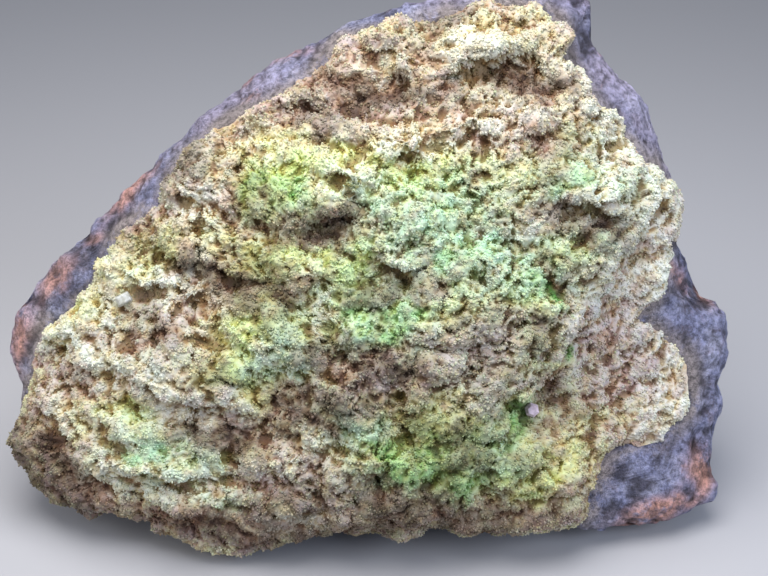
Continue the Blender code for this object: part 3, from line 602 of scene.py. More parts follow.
crustTints = {
    # x, v, half length, half width, strength, turn
    # paler crust, and painted light on the rims and ledge tops that catch the lamp
    "pale": (
        (26, 112, 8, 5, 1, 5), (8, 54, 12, 3, 0.6, 5), (-4, 22, 4, 4, 0.7), (-78, 41, 6, 5, 0.8),
        (-65, 18, 6, 5, 0.9), (-57, 7, 8, 4, 0.7), (-53, 54, 10, 3, 0.8, -10), (-42, 70, 4, 8, 0.7),
        (84, 38, 5, 16, 0.9), (-66, 7, 8, 4, 0.7), (13, 91, 12, 5, 1, 12), (-4, 84, 9, 5, 1),
        (-5, 81, 6, 4, 0.8), (57, 76, 9, 4, 1, -8), (50, 111, 7, 6, 0.6), (-40, 27, 7, 3, 0.6),
        (-65, 36, 12, 4, 0.9, -20), (-78, 42, 7, 8, 0.6), (50, 113, 8, 6, 0.5),
        (-20, 39, 10, 5, 0.8), (-38, 44, 6, 4, 0.5), (-53, 8, 12, 3, 0.6, -8), (84, 22, 9, 16, 1),
        (-80, 21, 5, 5, 0.6), (60, 84, 10, 6, 0.6), (72, 60, 8, 14, 0.7, -10),
        (82, 50, 7, 14, 1, 15), (-55, 56, 12, 4, 0.8, -12), (-78, 52, 7, 6, 0.5, 20),
        (-40, 26, 12, 5, 0.5, -10), (-15, 84, 20, 7, 0.4), (31, 117, 9, 4, 0.8, -5),
        (-42, 76, 6, 8, 0.5), (-16, -3, 8, 4, 0.9), (62, 95, 8, 10, 0.4, 20), (82, 12, 6, 8, 0.6),
        (-72, 46, 14, 8, 0.6, 10), (-58, 33, 22, 5, 0.7, -22), (-66, 60, 9, 4, 0.6, 35),
        (-55, 57, 10, 4, 0.7, -10), (-40, 52, 8, 3, 0.4), (-38, 43, 6, 4, 0.5),
        (-22, 38, 6, 6, 0.7), (-8, 49, 6, 6, 0.6, 20), (-60, 19, 8, 6, 0.5),
        (-52, 8, 15, 5, 0.7, -8), (-80, 22, 5, 6, 0.5), (-34, 11, 6, 4, 0.4),
        (-11, 16, 12, 5, 0.5, 15), (-42, 76, 5, 10, 0.6), (-56, 78, 6, 4, 0.5, 40),
        (-25, 72, 5, 4, 0.4), (-30, 92, 12, 8, 0.3, 20), (14, 93, 15, 4, 0.7, 10),
        (-5, 84, 9, 5, 0.5, -10), (30, 96, 8, 10, 0.3), (42, 100, 16, 3, 0.4, -5),
        (27, 117, 8, 3, 0.4), (5, 112, 6, 4, 0.4, -30), (30, 123, 20, 4, 0.3),
        (62, 100, 6, 10, 0.5, 30), (70, 92, 4, 12, 0.6, 30), (76, 73, 5, 12, 0.8, 5),
        (58, 78, 12, 3, 0.6, -5), (44, 70, 6, 4, 0.6), (8, 62, 6, 4, 0.6), (28, 62, 8, 6, 0.3),
        (62, 56, 9, 9, 0.6), (78, 40, 10, 6, 0.5, -40), (83, 28, 4, 14, 0.6),
        (76, 17, 8, 4, 0.6, 20), (34, 4, 6, 3, 0.4), (10, 46, 12, 5, 0.3), (-15, 60, 6, 3, 0.4),
    ),
    "ochre": (
        (26, 112, 30, 14, 0.4), (40, 108, 8, 4, 0.6, -10), (-40, 92, 16, 6, 0.4, 35),
        (15, 106, 34, 12, 0.6, 5), (40, 88, 16, 8, 0.5, -10), (-25, 97, 14, 5, 0.6, 20),
        (-38, 80, 8, 8, 0.3, 40), (50, 104, 8, 14, 0.4, 30), (33, 125, 12, 5, 0.5),
    ),
    "pink": (
        (-52, 44, 14, 9, 0.6, -10), (-70, 31, 12, 7, 0.6, -20), (-28, 112, 16, 6, 0.4, 30),
        (-2, 100, 22, 8, 0.5, 5), (28, 40, 14, 9, 0.4), (72, 40, 13, 18, 0.5), (0, 1, 50, 5, 0.4),
        (-36, 79, 6, 8, 0.5), (48, 74, 8, 5, 0.4), (66, 52, 8, 14, 0.9, -20), (60, 40, 9, 14, 0.7),
        (76, 36, 11, 9, 0.5), (70, 17, 14, 6, 0.6), (76, 72, 4, 8, 0.6), (-45, 80, 8, 10, 0.6, -30),
        (-57, 32, 10, 5, 0.6), (-48, 25, 18, 7, 0.5), (-10, 115, 15, 6, 0.6, 20),
        (15, 44, 7, 5, 0.8, -30), (27, 42, 9, 11, 0.5), (62, 77, 6, 4, 0.6), (-15, 7, 20, 6, 0.6),
        (30, 95, 16, 6, 0.4), (44, 71, 5, 6, 0.7), (3, 36, 5, 5, 0.6),
    ),
    "yellow": (
        (-76, 51, 8, 5, 0.5, 15), (-56, 64, 12, 6, 0.4, 20), (-28, 59, 9, 5, 0.5),
        (-28, 40, 8, 9, 0.6), (-40, 66, 7, 4, 0.4), (34, 119, 12, 5, 0.4), (-30, 47, 9, 5, 0.9),
        (-32, 34, 7, 3, 1, 5), (-28, 28, 5, 3, 0.8), (-27, 40, 11, 8, 0.7), (-60, 25, 5, 3, 0.7),
        (-24, 66, 10, 4, 0.7, -35), (-28, 57, 12, 5, 0.3), (-75, 48, 7, 3, 0.7, 10),
        (-66, 58, 5, 7, 0.6, 60), (-80, 41, 2, 4, 0.7), (10, 84, 6, 2, 1, -10), (21, 80, 4, 2, 0.8),
        (-12, 45, 6, 2, 0.7, -30), (55, 66, 6, 3, 0.7), (56, 74, 7, 3, 0.6, -10),
        (38, 84, 12, 6, 0.5), (48, 10, 15, 8, 0.7, 10), (60, 22, 10, 3, 0.5),
        (-18, 0, 6, 2, 0.6, -10), (38, 36, 5, 4, 0.5), (47, 37, 3, 2, 0.6), (14, 96, 6, 3, 0.5),
        (-26, 94, 7, 3, 0.5), (15, 23, 12, 6, 0.6), (54, 94, 6, 3, 0.5), (24, 50, 8, 4, 0.4, 20),
    ),
    "lime": (
        (-75, 52, 7, 4, 0.35, 10), (-52, 66, 14, 5, 0.3, 15), (-26, 41, 7, 8, 0.6),
        (-10, 84, 26, 9, 0.4, -3), (-15, 63, 22, 8, 0.25, -12), (-28, 44, 12, 12, 0.4),
        (20, 12, 28, 13, 0.4), (0, 50, 22, 10, 0.3), (-60, 20, 14, 9, 0.35, -10),
        (-15, 84, 20, 7, 0.7), (-14, 86, 15, 6, 1, 5), (7, 85, 15, 4, 1, -12), (-26, 82, 5, 6, 0.8),
        (-15, 62.5, 17, 4, 0.8, -15), (-3, 63, 6, 3, 0.9), (-30, 42, 10, 10, 0.5),
        (6, 51, 14, 5, 0.8), (-62, 21, 8, 5, 0.6), (-38, 13, 9, 3, 0.5, 20),
        (15, 16, 19, 8, 0.8, -10), (28, 8, 14, 6, 0.8), (45, 8, 12, 6, 0.5, 10),
        (30, 22, 12, 6, 0.6), (22, 86, 9, 5, 0.5), (50, 66, 9, 5, 0.6), (40, 54, 10, 5, 0.6, -30),
        (-10, 78, 14, 3, 0.5), (25, 60, 8, 8, 0.4),
    ),
    "mint": (
        (5, 50, 14, 6, 0.6), (-18, 39, 6, 5, 0.6), (68, 84, 10, 12, 0.25), (5, 73, 28, 15, 0.4),
        (45, 60, 18, 13, 0.35), (50, 83, 14, 9, 0.4), (28, 74, 12, 12, 0.4), (-25, 45, 12, 12, 0.3),
        (-50, 11, 18, 9, 0.4), (22, 14, 26, 12, 0.35), (-2, 49, 18, 9, 0.4), (38, 35, 20, 10, 0.25),
        (-60, 38, 18, 10, 0.25, -15), (-55, 60, 12, 5, 0.25, 20), (-8, 24, 12, 8, 0.4),
        (12, 74, 16, 9, 0.6), (28, 66, 9, 7, 0.55), (37, 63, 13, 6, 0.8), (-19, 39, 7, 5, 1, 20),
        (-25, 36, 5, 4, 1, 30), (-1, 24, 6, 3.5, 1), (-4, 20, 3, 5, 0.8), (33, 15, 8, 6, 0.8, 40),
        (-56, 16, 10, 6, 0.8, -20), (58, 84, 11, 5, 0.7, 5), (60, 70, 9, 5, 0.5),
        (44, 58, 9, 7, 0.6, -30), (4, 47, 10, 4, 0.8, -30), (27, 55, 7, 6, 0.5),
        (-12, 76, 11, 3, 0.4), (-37, 2, 8, 3, 0.5), (-44, 10, 5, 8, 0.4), (20, 68, 18, 10, 0.4),
    ),
    "green": (
        (-19, 81, 6, 4, 0.8), (-26, 83, 4, 2.5, 0.6), (12, 49.5, 6, 3.5, 0.6, 20),
        (-3, 53, 3.5, 2, 0.9), (6, 45, 5, 2.5, 0.9, 10), (3, 50, 9, 2.5, 0.6), (4, 17, 6, 4, 1, -5),
        (12, 11, 7, 4, 0.9, -5), (18, 17, 3, 2.5, 0.8), (28, 66, 5, 3, 0.3),
        (22, 65, 4, 2.5, 0.3, 20), (48, 55, 6, 2, 0.9, -35), (54, 82.5, 5, 3, 0.8),
        (39.5, 21.5, 3.5, 3, 0.5, -40), (37, 24, 2.5, 2.5, 0.4), (25, 6, 4, 3, 0.6),
        (-58, 15, 6, 4, 0.5), (52, 40, 2, 3.5, 0.7),
    ),
    "brown": (
        (-33, 82, 3, 7, 0.7, 10), (-31, 73, 5, 2, 0.9), (-45, 62, 7, 5, 0.7, -50),
        (-37, 57, 7, 2.5, 0.9, -55), (-29, 58, 4, 2, 0.7), (-18, 57, 7, 2, 0.9, 5),
        (-40, 52, 5, 4, 0.8), (-60, 42, 6, 1.5, 0.9, 5), (-50, 45, 7, 2.5, 0.8, -10),
        (-73, 34, 5, 4, 0.6, -30), (-58, 27, 12, 2, 0.5), (-22, 26, 6, 3, 0.9, -10),
        (-13, 29, 9, 3, 0.7, -10), (-12, 22, 9, 3, 0.8, -15), (-32, 19, 14, 5, 0.6),
        (-44, 24, 4, 3, 0.6), (-4, 38, 6, 2.5, 0.8), (10, 35, 4, 2, 0.7), (-10, 72, 11, 5, 0.8, 5),
        (-8, 107, 10, 3, 0.8, -10), (5, 106, 7, 3.5, 0.9), (20, 105, 5, 3, 0.9, 35),
        (41, 109, 9, 4.5, 1, -10), (46, 107, 5, 3, 0.8, -30), (-13, 100, 6, 2, 0.7),
        (28, 94, 5, 2.5, 0.7, -10), (45, 94, 6, 3, 0.7, -50), (16, 113.5, 3, 2, 0.7),
        (27, 126, 3, 1.5, 0.6), (63, 41.5, 3, 2.5, 0.9), (62, 30, 3, 2, 0.7), (47, 31, 5, 3, 0.6),
        (5, 6, 5, 3, 0.9), (3, 14, 5, 1.5, 0.6, -20), (60, 72, 7, 3, 0.8, -15), (47, 76, 5, 3, 0.7),
        (48, 59, 5, 2, 0.9, -50), (-78, 10, 14, 4, 0.9, -50), (-68, 1, 10, 3, 0.9, -25),
        (-58, 5.5, 5, 1, 0.7), (-30, -4, 34, 4, 0.8, -3), (25, -2, 40, 4, 0.7),
        (20, 60, 5, 1.5, 0.6, 35),
    ),
    # painted shade: patches darkened where shadow falls, in the hollows, under ledges and along the
    # foot
    "paintedShade": (
        (12, 2, 8, 4, 1), (-2, 45, 7, 4, 0.8), (-42, 88, 5, 5, 0.6, 45), (-26, 65, 8, 5, 0.6),
        (-36, 34, 7, 4, 0.7), (24, 124, 9, 4, 0.8), (-48, 84, 6, 5, 0.6, 45),
        (-4, 40, 12, 5, 0.5, -20), (20, 14, 12, 6, 0.4), (10, 3, 8, 4, 0.5),
        (-90, 9, 12, 10, 1, -45), (-82, -2, 17, 9, 1, -38), (-43, 59, 8, 4, 1, -5),
        (24, 22, 34, 20, 0.2), (5, 105, 7, 3, 0.9), (12, 1, 8, 5, 0.7), (3, 56, 6, 3, 0.6),
        (-15, 22, 8, 3, 0.7, -15), (-24, 28, 5, 4, 0.5), (-5, 30, 6, 4, 0.5), (20, 23, 8, 4, 0.5),
        (-30, 17, 8, 3, 0.4), (41, 109, 9, 4.5, 1, -8), (41, 109, 7, 3.5, 0.8, -8),
        (5, 105, 11, 4, 1), (-9, 98, 9, 3, 0.8, -10), (22, 105, 6, 4, 0.6, 30),
        (-8, 107, 9, 4, 0.4, 10), (10, 119, 14, 4, 0.4, 10), (-28, 80, 8, 6, 0.5, 20),
        (-46, 88, 7, 6, 0.5, 45), (-60, 68, 6, 5, 0.4, 45), (-12, 70, 9, 6, 1, 8),
        (50, 75, 8, 4, 0.9, -20), (62, 71, 9, 4, 1, -10), (46, 88, 6, 6, 0.5), (53, 64, 8, 3, 0.5),
        (2, 56, 10, 4, 0.9, -5), (15, 58, 6, 4, 0.6, 30), (-42, 60, 7, 3, 1, -10),
        (-28, 56, 10, 5, 0.9, -10), (-21, 49, 5, 4, 0.7), (-55, 48, 7, 3, 0.5, -10),
        (-50, 43, 6, 3, 0.5), (-12, 41, 5, 4, 0.8), (6, 37, 9, 5, 0.9), (-5, 29, 11, 5, 0.9, -5),
        (12, 32, 8, 5, 0.6), (20, 22, 12, 5, 0.6), (25, 46, 8, 4, 0.6), (42, 45, 6, 4, 0.8),
        (36, 35, 10, 5, 0.5), (33, 51, 6, 4, 0.4), (53, 24, 9, 4, 0.4), (-16, 23, 9, 4, 0.8, -15),
        (-38, 18, 12, 4, 1, -3), (25, 13, 8, 5, 0.9), (41, 14, 6, 4, 0.5), (66, 10, 4, 4, 0.5),
        (-80, 8, 14, 7, 0.8, -45), (0, 4, 30, 6, 0.6), (12, 1, 11, 6, 0.9), (-19, 1, 10, 3, 0.8),
        (30, -4, 34, 5, 0.8, 3), (-27, -7, 36, 6, 0.9, -3),
    ),
}


tintFray = {
    "drift": ((14.0, 2.4), (5.0, 2.0), (2.2, 1.2)),
    "fleck": (0.85, 0.45, ((4.0, 0.6), (1.8, 0.5))),  # a patch's mean share, its spread and noise
}


def tintsAt(x, v):
    # Each colour's patches, their edges drifted by noise, so that they fray.
    flat = np.stack([x, v, np.zeros_like(x)], axis=1)
    x2 = x + octaves(flat, tintFray["drift"], 300)
    v2 = v + octaves(flat, tintFray["drift"], 310)
    mean, spread, steps = tintFray["fleck"]
    tints = {}
    for i, (name, patches) in enumerate(crustTints.items()):
        fleck = mean + spread * octaves(flat, steps, 320 + 3 * i)
        tints[name] = np.clip(covered(x2, v2, patches) * fleck, 0.0, 1.0)
    return tints


def pitNumber(scale, near, far):  # 0 on tips, 1 at the bottom of pits
    level, perNear, perFar = scale
    return level + near * perNear + far * perFar


def hollowness(points, faces, fine=8, broad=90):
    # How far each point lies under the surface evened out a little and more: above 0 in pits.
    normals = pointNormals(softened(points, faces, fine), faces)
    near = np.einsum("ij,ij->i", softened(points, faces, fine * 3) - points, normals)
    far = np.einsum("ij,ij->i", softened(points, faces, broad) - points, normals)
    return near, far


skinNear, skinFar = hollowness(skinPoints, skinFaces)
skinNormals = pointNormals(skinPoints, skinFaces)


def makeCrust():
    # Two blocks that meet along the grid's middle row, so that neither has too many triangles.
    s = crustShape
    count, half = s["gridCount"], s["gridCount"] // 2
    tints = tintsAt(skinBase[:, 0], skinBase[:, 1])
    pit = np.clip(pitNumber(s["pit"], skinNear, skinFar), 0.0, 1.0)
    front = np.linspace(0.02, 0.98, count + 1)  # the front takes nearly the whole map
    back = np.linspace(0.001, 0.015, count // s["backStep"] + 1)
    made = []
    for name, first in (("crust_lower", 0), ("crust_upper", half)):
        rows = slice(first * (count + 1), (first + half + 1) * (count + 1))
        points, faces = closedBlock(skinPoints[rows], half, count, s["backStep"])
        extra = len(points) - (half + 1) * (count + 1)
        attributes = {k: np.append(t[rows], np.zeros(extra)) for k, t in tints.items()}
        attributes["pit"] = np.append(pit[rows], np.ones(extra))
        grids = (
            np.meshgrid(front, np.linspace(front[0], front[-1], half + 1)),
            np.meshgrid(back, back[: half // s["backStep"] + 1]),
        )
        uvs = np.concatenate([np.stack([a.ravel(), b.ravel()], axis=1) for a, b in grids])
        sharp = np.zeros(len(points), bool)
        sharp[gridRim(half, count)] = True
        made.append(makePiece(name, *points.T, faces, attributes, uvs, sharp=sharp))
    return made


crustPieces = makeCrust()
print("crust", [len(c.data.polygons) for c in crustPieces])


grainSets = {
    # seed, count, radius range in mm, length range in radii, spread of the lean
    "crystals_short": (1, 24500, (0.28, 0.52), (1.7, 2.8), 0.7),
    "crystals_long": (2, 24500, (0.16, 0.36), (2.4, 5.0), 0.75),
}
grainLook = {
    "tipOdds": (0.8, -0.5, 0.5, 1.3),  # odds on level ground, more per mm of pit, and their range
    "rimGap": 0.1, "seatGap": 0.6,  # bare width at the rim and round each odd crystal's middle
    "waist": 0.1, "lift": 0.1,  # height of the ring and of the whole crystal, of its length
    "uneven": 0.2,  # how far the ring's radius varies
    "pit": (0.34, 0.6, 0.3),  # as the crust's own, and a little paler
    "tintSpread": 0.08, "pitSpread": 0.03,
    "mapRing": (0.36, 0.2),  # radius of the ring on a crystal's square of the map, and by height
}


def grainShape():
    # One crystal's triangles and its points: a ring of four between two tips, as angle, radius
    # and height along its axis.
    ring = np.arange(4)
    after = (ring + 1) % 4
    points = [(t, 1.0, grainLook["waist"]) for t in ring * math.pi / 2.0]
    points += [(0.0, 0.0, -0.5), (0.0, 0.0, 0.5)]
    top = np.stack([ring, after, np.full(4, 5), np.full(4, 5)], axis=1)
    bottom = np.stack([after, ring, np.full(4, 4), np.full(4, 4)], axis=1)
    return np.array(points), np.concatenate([top, bottom])


def crustGround():  # where crystals sit on the crust, and the odds of each square
    g = grainLook
    area = np.linalg.norm(faceNormals(skinPoints, skinFaces), axis=1)
    level, perPit, least, most = g["tipOdds"]
    tip = np.clip(level + skinNear[skinFaces].mean(1) * perPit, least, most)
    inside = skinInward[skinFaces].min(1) > g["rimGap"]
    for seat in seats:
        away = np.hypot(*(skinPoints[skinFaces[:, 0], :2] - seat[:2]).T)
        inside = inside & (away > g["seatGap"])
    return skinPoints, skinFaces, skinNormals, area * tip * inside


def makeGrains(name, ground, seed, count, radii, lengths, lean):
    # Copies of one crystal, each turned and leaned its own way and sunk into the ground.
    g = grainLook
    random = np.random.default_rng(seed)
    points, faces, normals, weight = ground
    face = faces[random.choice(len(faces), count, p=weight / weight.sum())]
    mix = random.dirichlet((1.0, 1.0, 1.0, 1.0), count)
    place = np.einsum("ij,ijk->ik", mix, points[face])
    axis = np.einsum("ij,ijk->ik", mix, normals[face])
    axis = axis + random.normal(0.0, lean, (count, 3))
    axis /= np.linalg.norm(axis, axis=1, keepdims=True)
    aside = np.cross(axis, random.normal(size=(count, 3)))
    aside /= np.linalg.norm(aside, axis=1, keepdims=True)
    third = np.cross(axis, aside)
    radius = random.uniform(*radii, count)
    length = radius * random.uniform(*lengths, count)
    shape, one = grainShape()
    turn, reach, rise = shape.T
    vary = random.uniform(-g["uneven"], g["uneven"], (count, len(shape)))
    wide = radius[:, None] * reach * (1.0 + vary)
    points = (
        place[:, None, :]
        + aside[:, None, :] * (np.cos(turn) * wide)[:, :, None]
        + third[:, None, :] * (np.sin(turn) * wide)[:, :, None]
        + axis[:, None, :] * ((rise + g["lift"]) * length[:, None])[:, :, None]
    ).reshape(-1, 3)
    faces = (one[None] + len(shape) * np.arange(count)[:, None, None]).reshape(-1, 4)
    tints = tintsAt(place[:, 0], place[:, 1])
    pit = np.einsum("ij,ij->i", mix, pitNumber(g["pit"], skinNear, skinFar)[face])
    attributes = {}
    for key, value in (*tints.items(), ("pit", pit)):
        spread = g["pitSpread"] if key == "pit" else g["tintSpread"]
        own = np.clip(value + random.normal(0.0, spread, count), 0.0, 1.0)
        attributes[key] = np.repeat(own, len(shape))
    tiles = math.ceil(math.sqrt(count))  # each crystal has its own square of the map
    corner = np.stack([np.arange(count) % tiles, np.arange(count) // tiles], axis=1) / tiles
    atWaist, perRise = g["mapRing"]
    spot = np.stack([np.cos(turn), np.sin(turn)], 1)
    spot = spot * (reach * (atWaist + perRise * rise))[:, None] + 0.5
    uvs = (corner[:, None, :] + spot[None] / tiles).reshape(-1, 2)
    return makePiece(name, *points.T, faces, attributes, uvs)


crust = crustGround()
grains = [makeGrains(name, crust, *values) for name, values in grainSets.items()]
print("crystals", [len(g.data.polygons) for g in grains])


rockShape = {
    "seed": 11,
    "gridCount": 208,
    "frontRows": (0.35, 0.65),  # way in from the rim: shares of t squared and t to the fourth
    "backRows": 0.3,  # of the way in, over which the back's rows close up to the rim
    "rimDetail": 0.25,  # share of the detail left at the rim
    # flats of the back: distance behind upright in the middle, and its change per mm of x and v
    "flats": (
        (46.5, 0.0, -0.03), (59.0, 0.42, 0.0), (64.0, -0.34, 0.0), (62.0, 0.3, -0.2),
        (83.0, -0.06, -0.34), (41.0, 0.12, 0.2), (55.0, -0.2, -0.02),
    ),
    # hollows and rises of the back: x, v, half length, half width, height, turn
    "forms": (
        (-36, 72, 20, 11, -4.5, 40), (32, 62, 17, 12, -4, -35), (60, 34, 13, 19, -3.5, 10),
        (-8, 104, 15, 8, -3, 30), (-58, 38, 14, 9, -4, 20), (8, 40, 18, 8, -3, 10),
        (44, 96, 12, 9, -3, -50), (-14, 62, 9, 7, 3), (70, 70, 8, 6, 2.5),
    ),
    "relief": ((27.0, 2.2), (11.0, 1.6), (6.0, 0.7)),
    "clear": (1.0, 4.0),  # distances past the crust at which its relief begins and is whole
    "noisePlanes": (40.0, -20.0),  # heights n at which the noise is read, in front and behind
    "under": (1.5, 3.0),  # how far it stays below the crust's back, and over what width
    "bareFade": 5.0,  # width at the rim over which the relief comes in
    "floorFade": 2.5,  # height above the floor over which the detail does
    "detailFade": (0.04, 0.05),  # way in from the rim over which the detail and the pits do
    "pit": (0.45, 1.2, 0.25),
    "face": (8.0, 8.0),  # height n from which the front has its colours, and over what
    "tintDrift": ((9.0, 3.0), (3.5, 1.5)),
    "dust": (4.5, 0.6),  # reach of the crust's dust on it, and how far its edge drifts
    "crease": 26.0,  # degrees past which an edge is sharp
    # where the underside begins to rise, over what width, and how far: to both ends, to the back
    "end": (56.0, 30.0, 4.0), "heel": (26.0, 16.0, 4.0),
}


def rockHeights(angle, out, front):
    # In front the height under the crust, with relief where it is bare. Behind, the lowest of the
    # flats, measured back from upright, rolled off to the rim and kept above the floor.
    s = rockShape
    rim = outlines["rock"]
    lean = facePlane["lean"]
    x, v = insideRim(rim, angle, out)
    rimN = rimAt(rim, angle, column=2)
    inward = fromRim(rim, x, v) * (out < 1.0)
    crustRim = outlines["crust"]
    outside = fromMiddle(x, v)[1] > rimAt(crustRim, angle)
    low, high = s["clear"]
    bare = ease((fromRim(crustRim, x, v) * outside - low) / (high - low))
    flat = np.stack([x, v, np.full_like(x, s["noisePlanes"][0 if front else 1])], axis=1)
    bumps = octaves(flat, s["relief"], s["seed"])
    if front:
        depth, width = s["under"]
        under = depth * ease(fromRim(crustRim, x, v) * ~outside / width)
        bumps = bumps * bare * ease(inward / s["bareFade"])
        return x, v, rockFront(x, v) - under + bumps, bare
    back = np.min([at + along * x + up * v for at, along, up in s["flats"]], axis=0)
    back = back + bumps + raised(x, v, s["forms"])
    n = (v * math.sin(lean) - back) / math.cos(lean)
    n = rimN + (n - rimN) * quarterRound(inward / rockRolls["back"])
    endFrom, endWidth, endRise = s["end"]
    heelFrom, heelWidth, heelRise = s["heel"]
    end = endRise * ease((np.abs(x) - endFrom) / endWidth)
    heel = heelRise * ease((v / math.sin(lean) - heelFrom) / heelWidth)
    under = (np.maximum(end, heel) - v * math.cos(lean)) / math.sin(lean)
    return x, v, np.where(out < 1.0, np.maximum(n, under), rimN), np.ones_like(x)


rockSkin = {
    "facets": ((17.0, 5.0), (8.0, 3.0), (4.0, 1.5)),  # flat breaks: cell size and height
    "sunk": 0.45,  # share of the cells that are sunk
    "grit": ((2.6, 0.3), (1.3, 0.3)),
    "drift": ((9.0, 1.2), (3.0, 0.5)),
}


def rockDetail(points):
    # Between a cell's point and its second nearest the difference of the squared distances is
    # flat, so every cell breaks into flat faces, raised or sunk.
    s = rockSkin
    moved = points + drifted(points, s["drift"], 400, 5)
    height = octaves(moved, s["grit"], 430)
    for i, (size, rise) in enumerate(s["facets"]):
        first, second, own = cells(moved, size, 440 + 10 * i)
        height = height + rise * (own - s["sunk"]) * (second**2 - first**2)
    return height


rockTints = {
    # as crustTints: x, v, half length, half width, strength, turn
    "rust": (
        (-82, 57, 8, 4, 0.8, 45), (-63, 83, 9, 3, 0.9, 45), (-93, 42, 4, 10, 0.9),
        (81, 61, 4, 2, 0.9, -40), (88, 55, 5, 2, 1, -20), (90, 7, 4, 6, 1), (78, -3, 13, 3, 1, 20),
        (-20, 117, 6, 2, 0.5, 30), (62, 12, 8, 3, 0.3, 30), (-85, 8, 8, 6, 0.5, 30),
        (-30, 112, 5, 2, 0.5, 35), (-72, 70, 3, 3, 0.6),
    ),
    # darker strips of the rock, and painted shade along its lower right edge by the floor
    "dimAndShade": (
        (-72, 63, 15, 7, 0.8, 47), (54, 124, 5, 7, 0.6, 30), (70, -8, 16, 3, 1, 10),
        (66, 9, 6, 6, 0.5), (79, 9, 4, 5, 0.5),
    ),
    "mauve": (
        (-32, 102, 16, 5, 0.8, 36), (65, 112, 10, 10, 0.9, 50), (30, 131, 26, 4, 0.8),
        (78, 92, 8, 14, 0.7, 20),
    ),
}


def makeRock():
    # A front and a back grid that share their rim, moved along their normals by the detail.
    s = rockShape
    count = s["gridCount"]
    angle, ring = discGrid(count)
    t = 1.0 - ring
    second, fourth = s["frontRows"]
    front = rockHeights(angle, 1.0 - second * t**2 - fourth * t**4, True)
    back = rockHeights(angle, 1.0 - closeUp(t, s["backRows"]), False)
    faces = gridFaces(count, count)
    index = np.arange(len(ring)) + len(ring)  # the back's rim points are the front's
    rim = gridRim(count, count)
    index[rim] = rim
    faces = np.concatenate([faces, index[faces[:, ::-1]]])
    x, v, n, share = (np.concatenate([a, b]) for a, b in zip(front, back, strict=True))
    used = np.ones(len(x), bool)
    used[len(ring) + rim] = False
    faces = (np.cumsum(used) - 1)[faces]
    points, share = np.stack([x, v, n], axis=1)[used], share[used]
    base = softened(points, faces, 2)
    height = rockDetail(base)
    overFloor = ease(toWorld(*points.T)[:, 2] * 1000.0 / s["floorFade"])
    atRim = np.concatenate([t, t])[used]
    detailFade, pitFade = s["detailFade"]
    share = share * (s["rimDetail"] + (1.0 - s["rimDetail"]) * ease(atRim / detailFade))
    grown = points + pointNormals(base, faces) * (height * overFloor * share)[:, None]
    near, far = hollowness(grown, faces, 3, 40)
    fade = ease(atRim / pitFade)
    attributes = {"pit": np.clip(pitNumber(s["pit"], near * fade, far * fade), 0.0, 1.0)}
    drift = octaves(grown, s["tintDrift"], 480)
    faceFrom, faceWidth = s["face"]
    face = ease((grown[:, 2] - faceFrom) / faceWidth)
    x, v, _ = grown.T
    reach, driftShare = s["dust"]
    aside = fromRim(outlines["crust"], x, v) + driftShare * drift
    attributes["dust"] = face * ease(1.0 - aside / reach)
    for key, patches in rockTints.items():
        attributes[key] = covered(x + drift, v - drift, patches) * face
    line = np.linspace(0.005, 0.495, count + 1)  # the front takes the map's left half
    up = np.linspace(0.01, 0.99, count + 1)
    uvs = np.stack([a.ravel() for a in np.meshgrid(line, up)], axis=1)
    uvs = np.concatenate([uvs, uvs + [0.5, 0.0]])[used]
    made = makePiece("rock", *grown.T, faces, attributes, uvs)
    made.data.set_sharp_from_angle(angle=math.radians(s["crease"]))
    return made


rock = makeRock()
print("rock", len(rock.data.polygons))


def addNode(tree, kind, **settings):
    made = tree.nodes.new(kind)
    for key, value in settings.items():
        setattr(made, key, value)
    return made


def readNumber(tree, name):
    return addNode(tree, "ShaderNodeAttribute", attribute_name=name).outputs["Fac"]


def mixColours(tree, share, first, second, blend="MIX"):
    mix = addNode(tree, "ShaderNodeMix", data_type="RGBA", blend_type=blend)
    for socket, value in ((mix.inputs[0], share), (mix.inputs[6], first), (mix.inputs[7], second)):
        if isinstance(value, (int, float)):
            socket.default_value = value
        elif isinstance(value, tuple):
            socket.default_value = (*value, 1.0)
        else:
            tree.links.new(value, socket)
    return mix.outputs[2]


def ramp(tree, value, stops):
    made = addNode(tree, "ShaderNodeValToRGB")
    while len(made.color_ramp.elements) < len(stops):
        made.color_ramp.elements.new(0.5)
    for element, (at, colour) in zip(made.color_ramp.elements, stops, strict=True):
        element.position = at
        element.color = (*colour, 1.0) if isinstance(colour, tuple) else (colour,) * 3 + (1.0,)
    tree.links.new(value, made.inputs[0])
    return made.outputs[0]


def objectNoise(tree, scale, detail, roughness):
    made = addNode(tree, "ShaderNodeTexNoise")
    for key, value in (("Scale", scale), ("Detail", detail), ("Roughness", roughness)):
        made.inputs[key].default_value = value
    place = addNode(tree, "ShaderNodeTexCoord").outputs["Object"]
    tree.links.new(place, made.inputs["Vector"])
    return made.outputs["Fac"]


def newMaterial(name):
    made = bpy.data.materials.new(name)
    made.use_nodes = True
    tree = made.node_tree
    return made, tree, tree.nodes["Principled BSDF"]


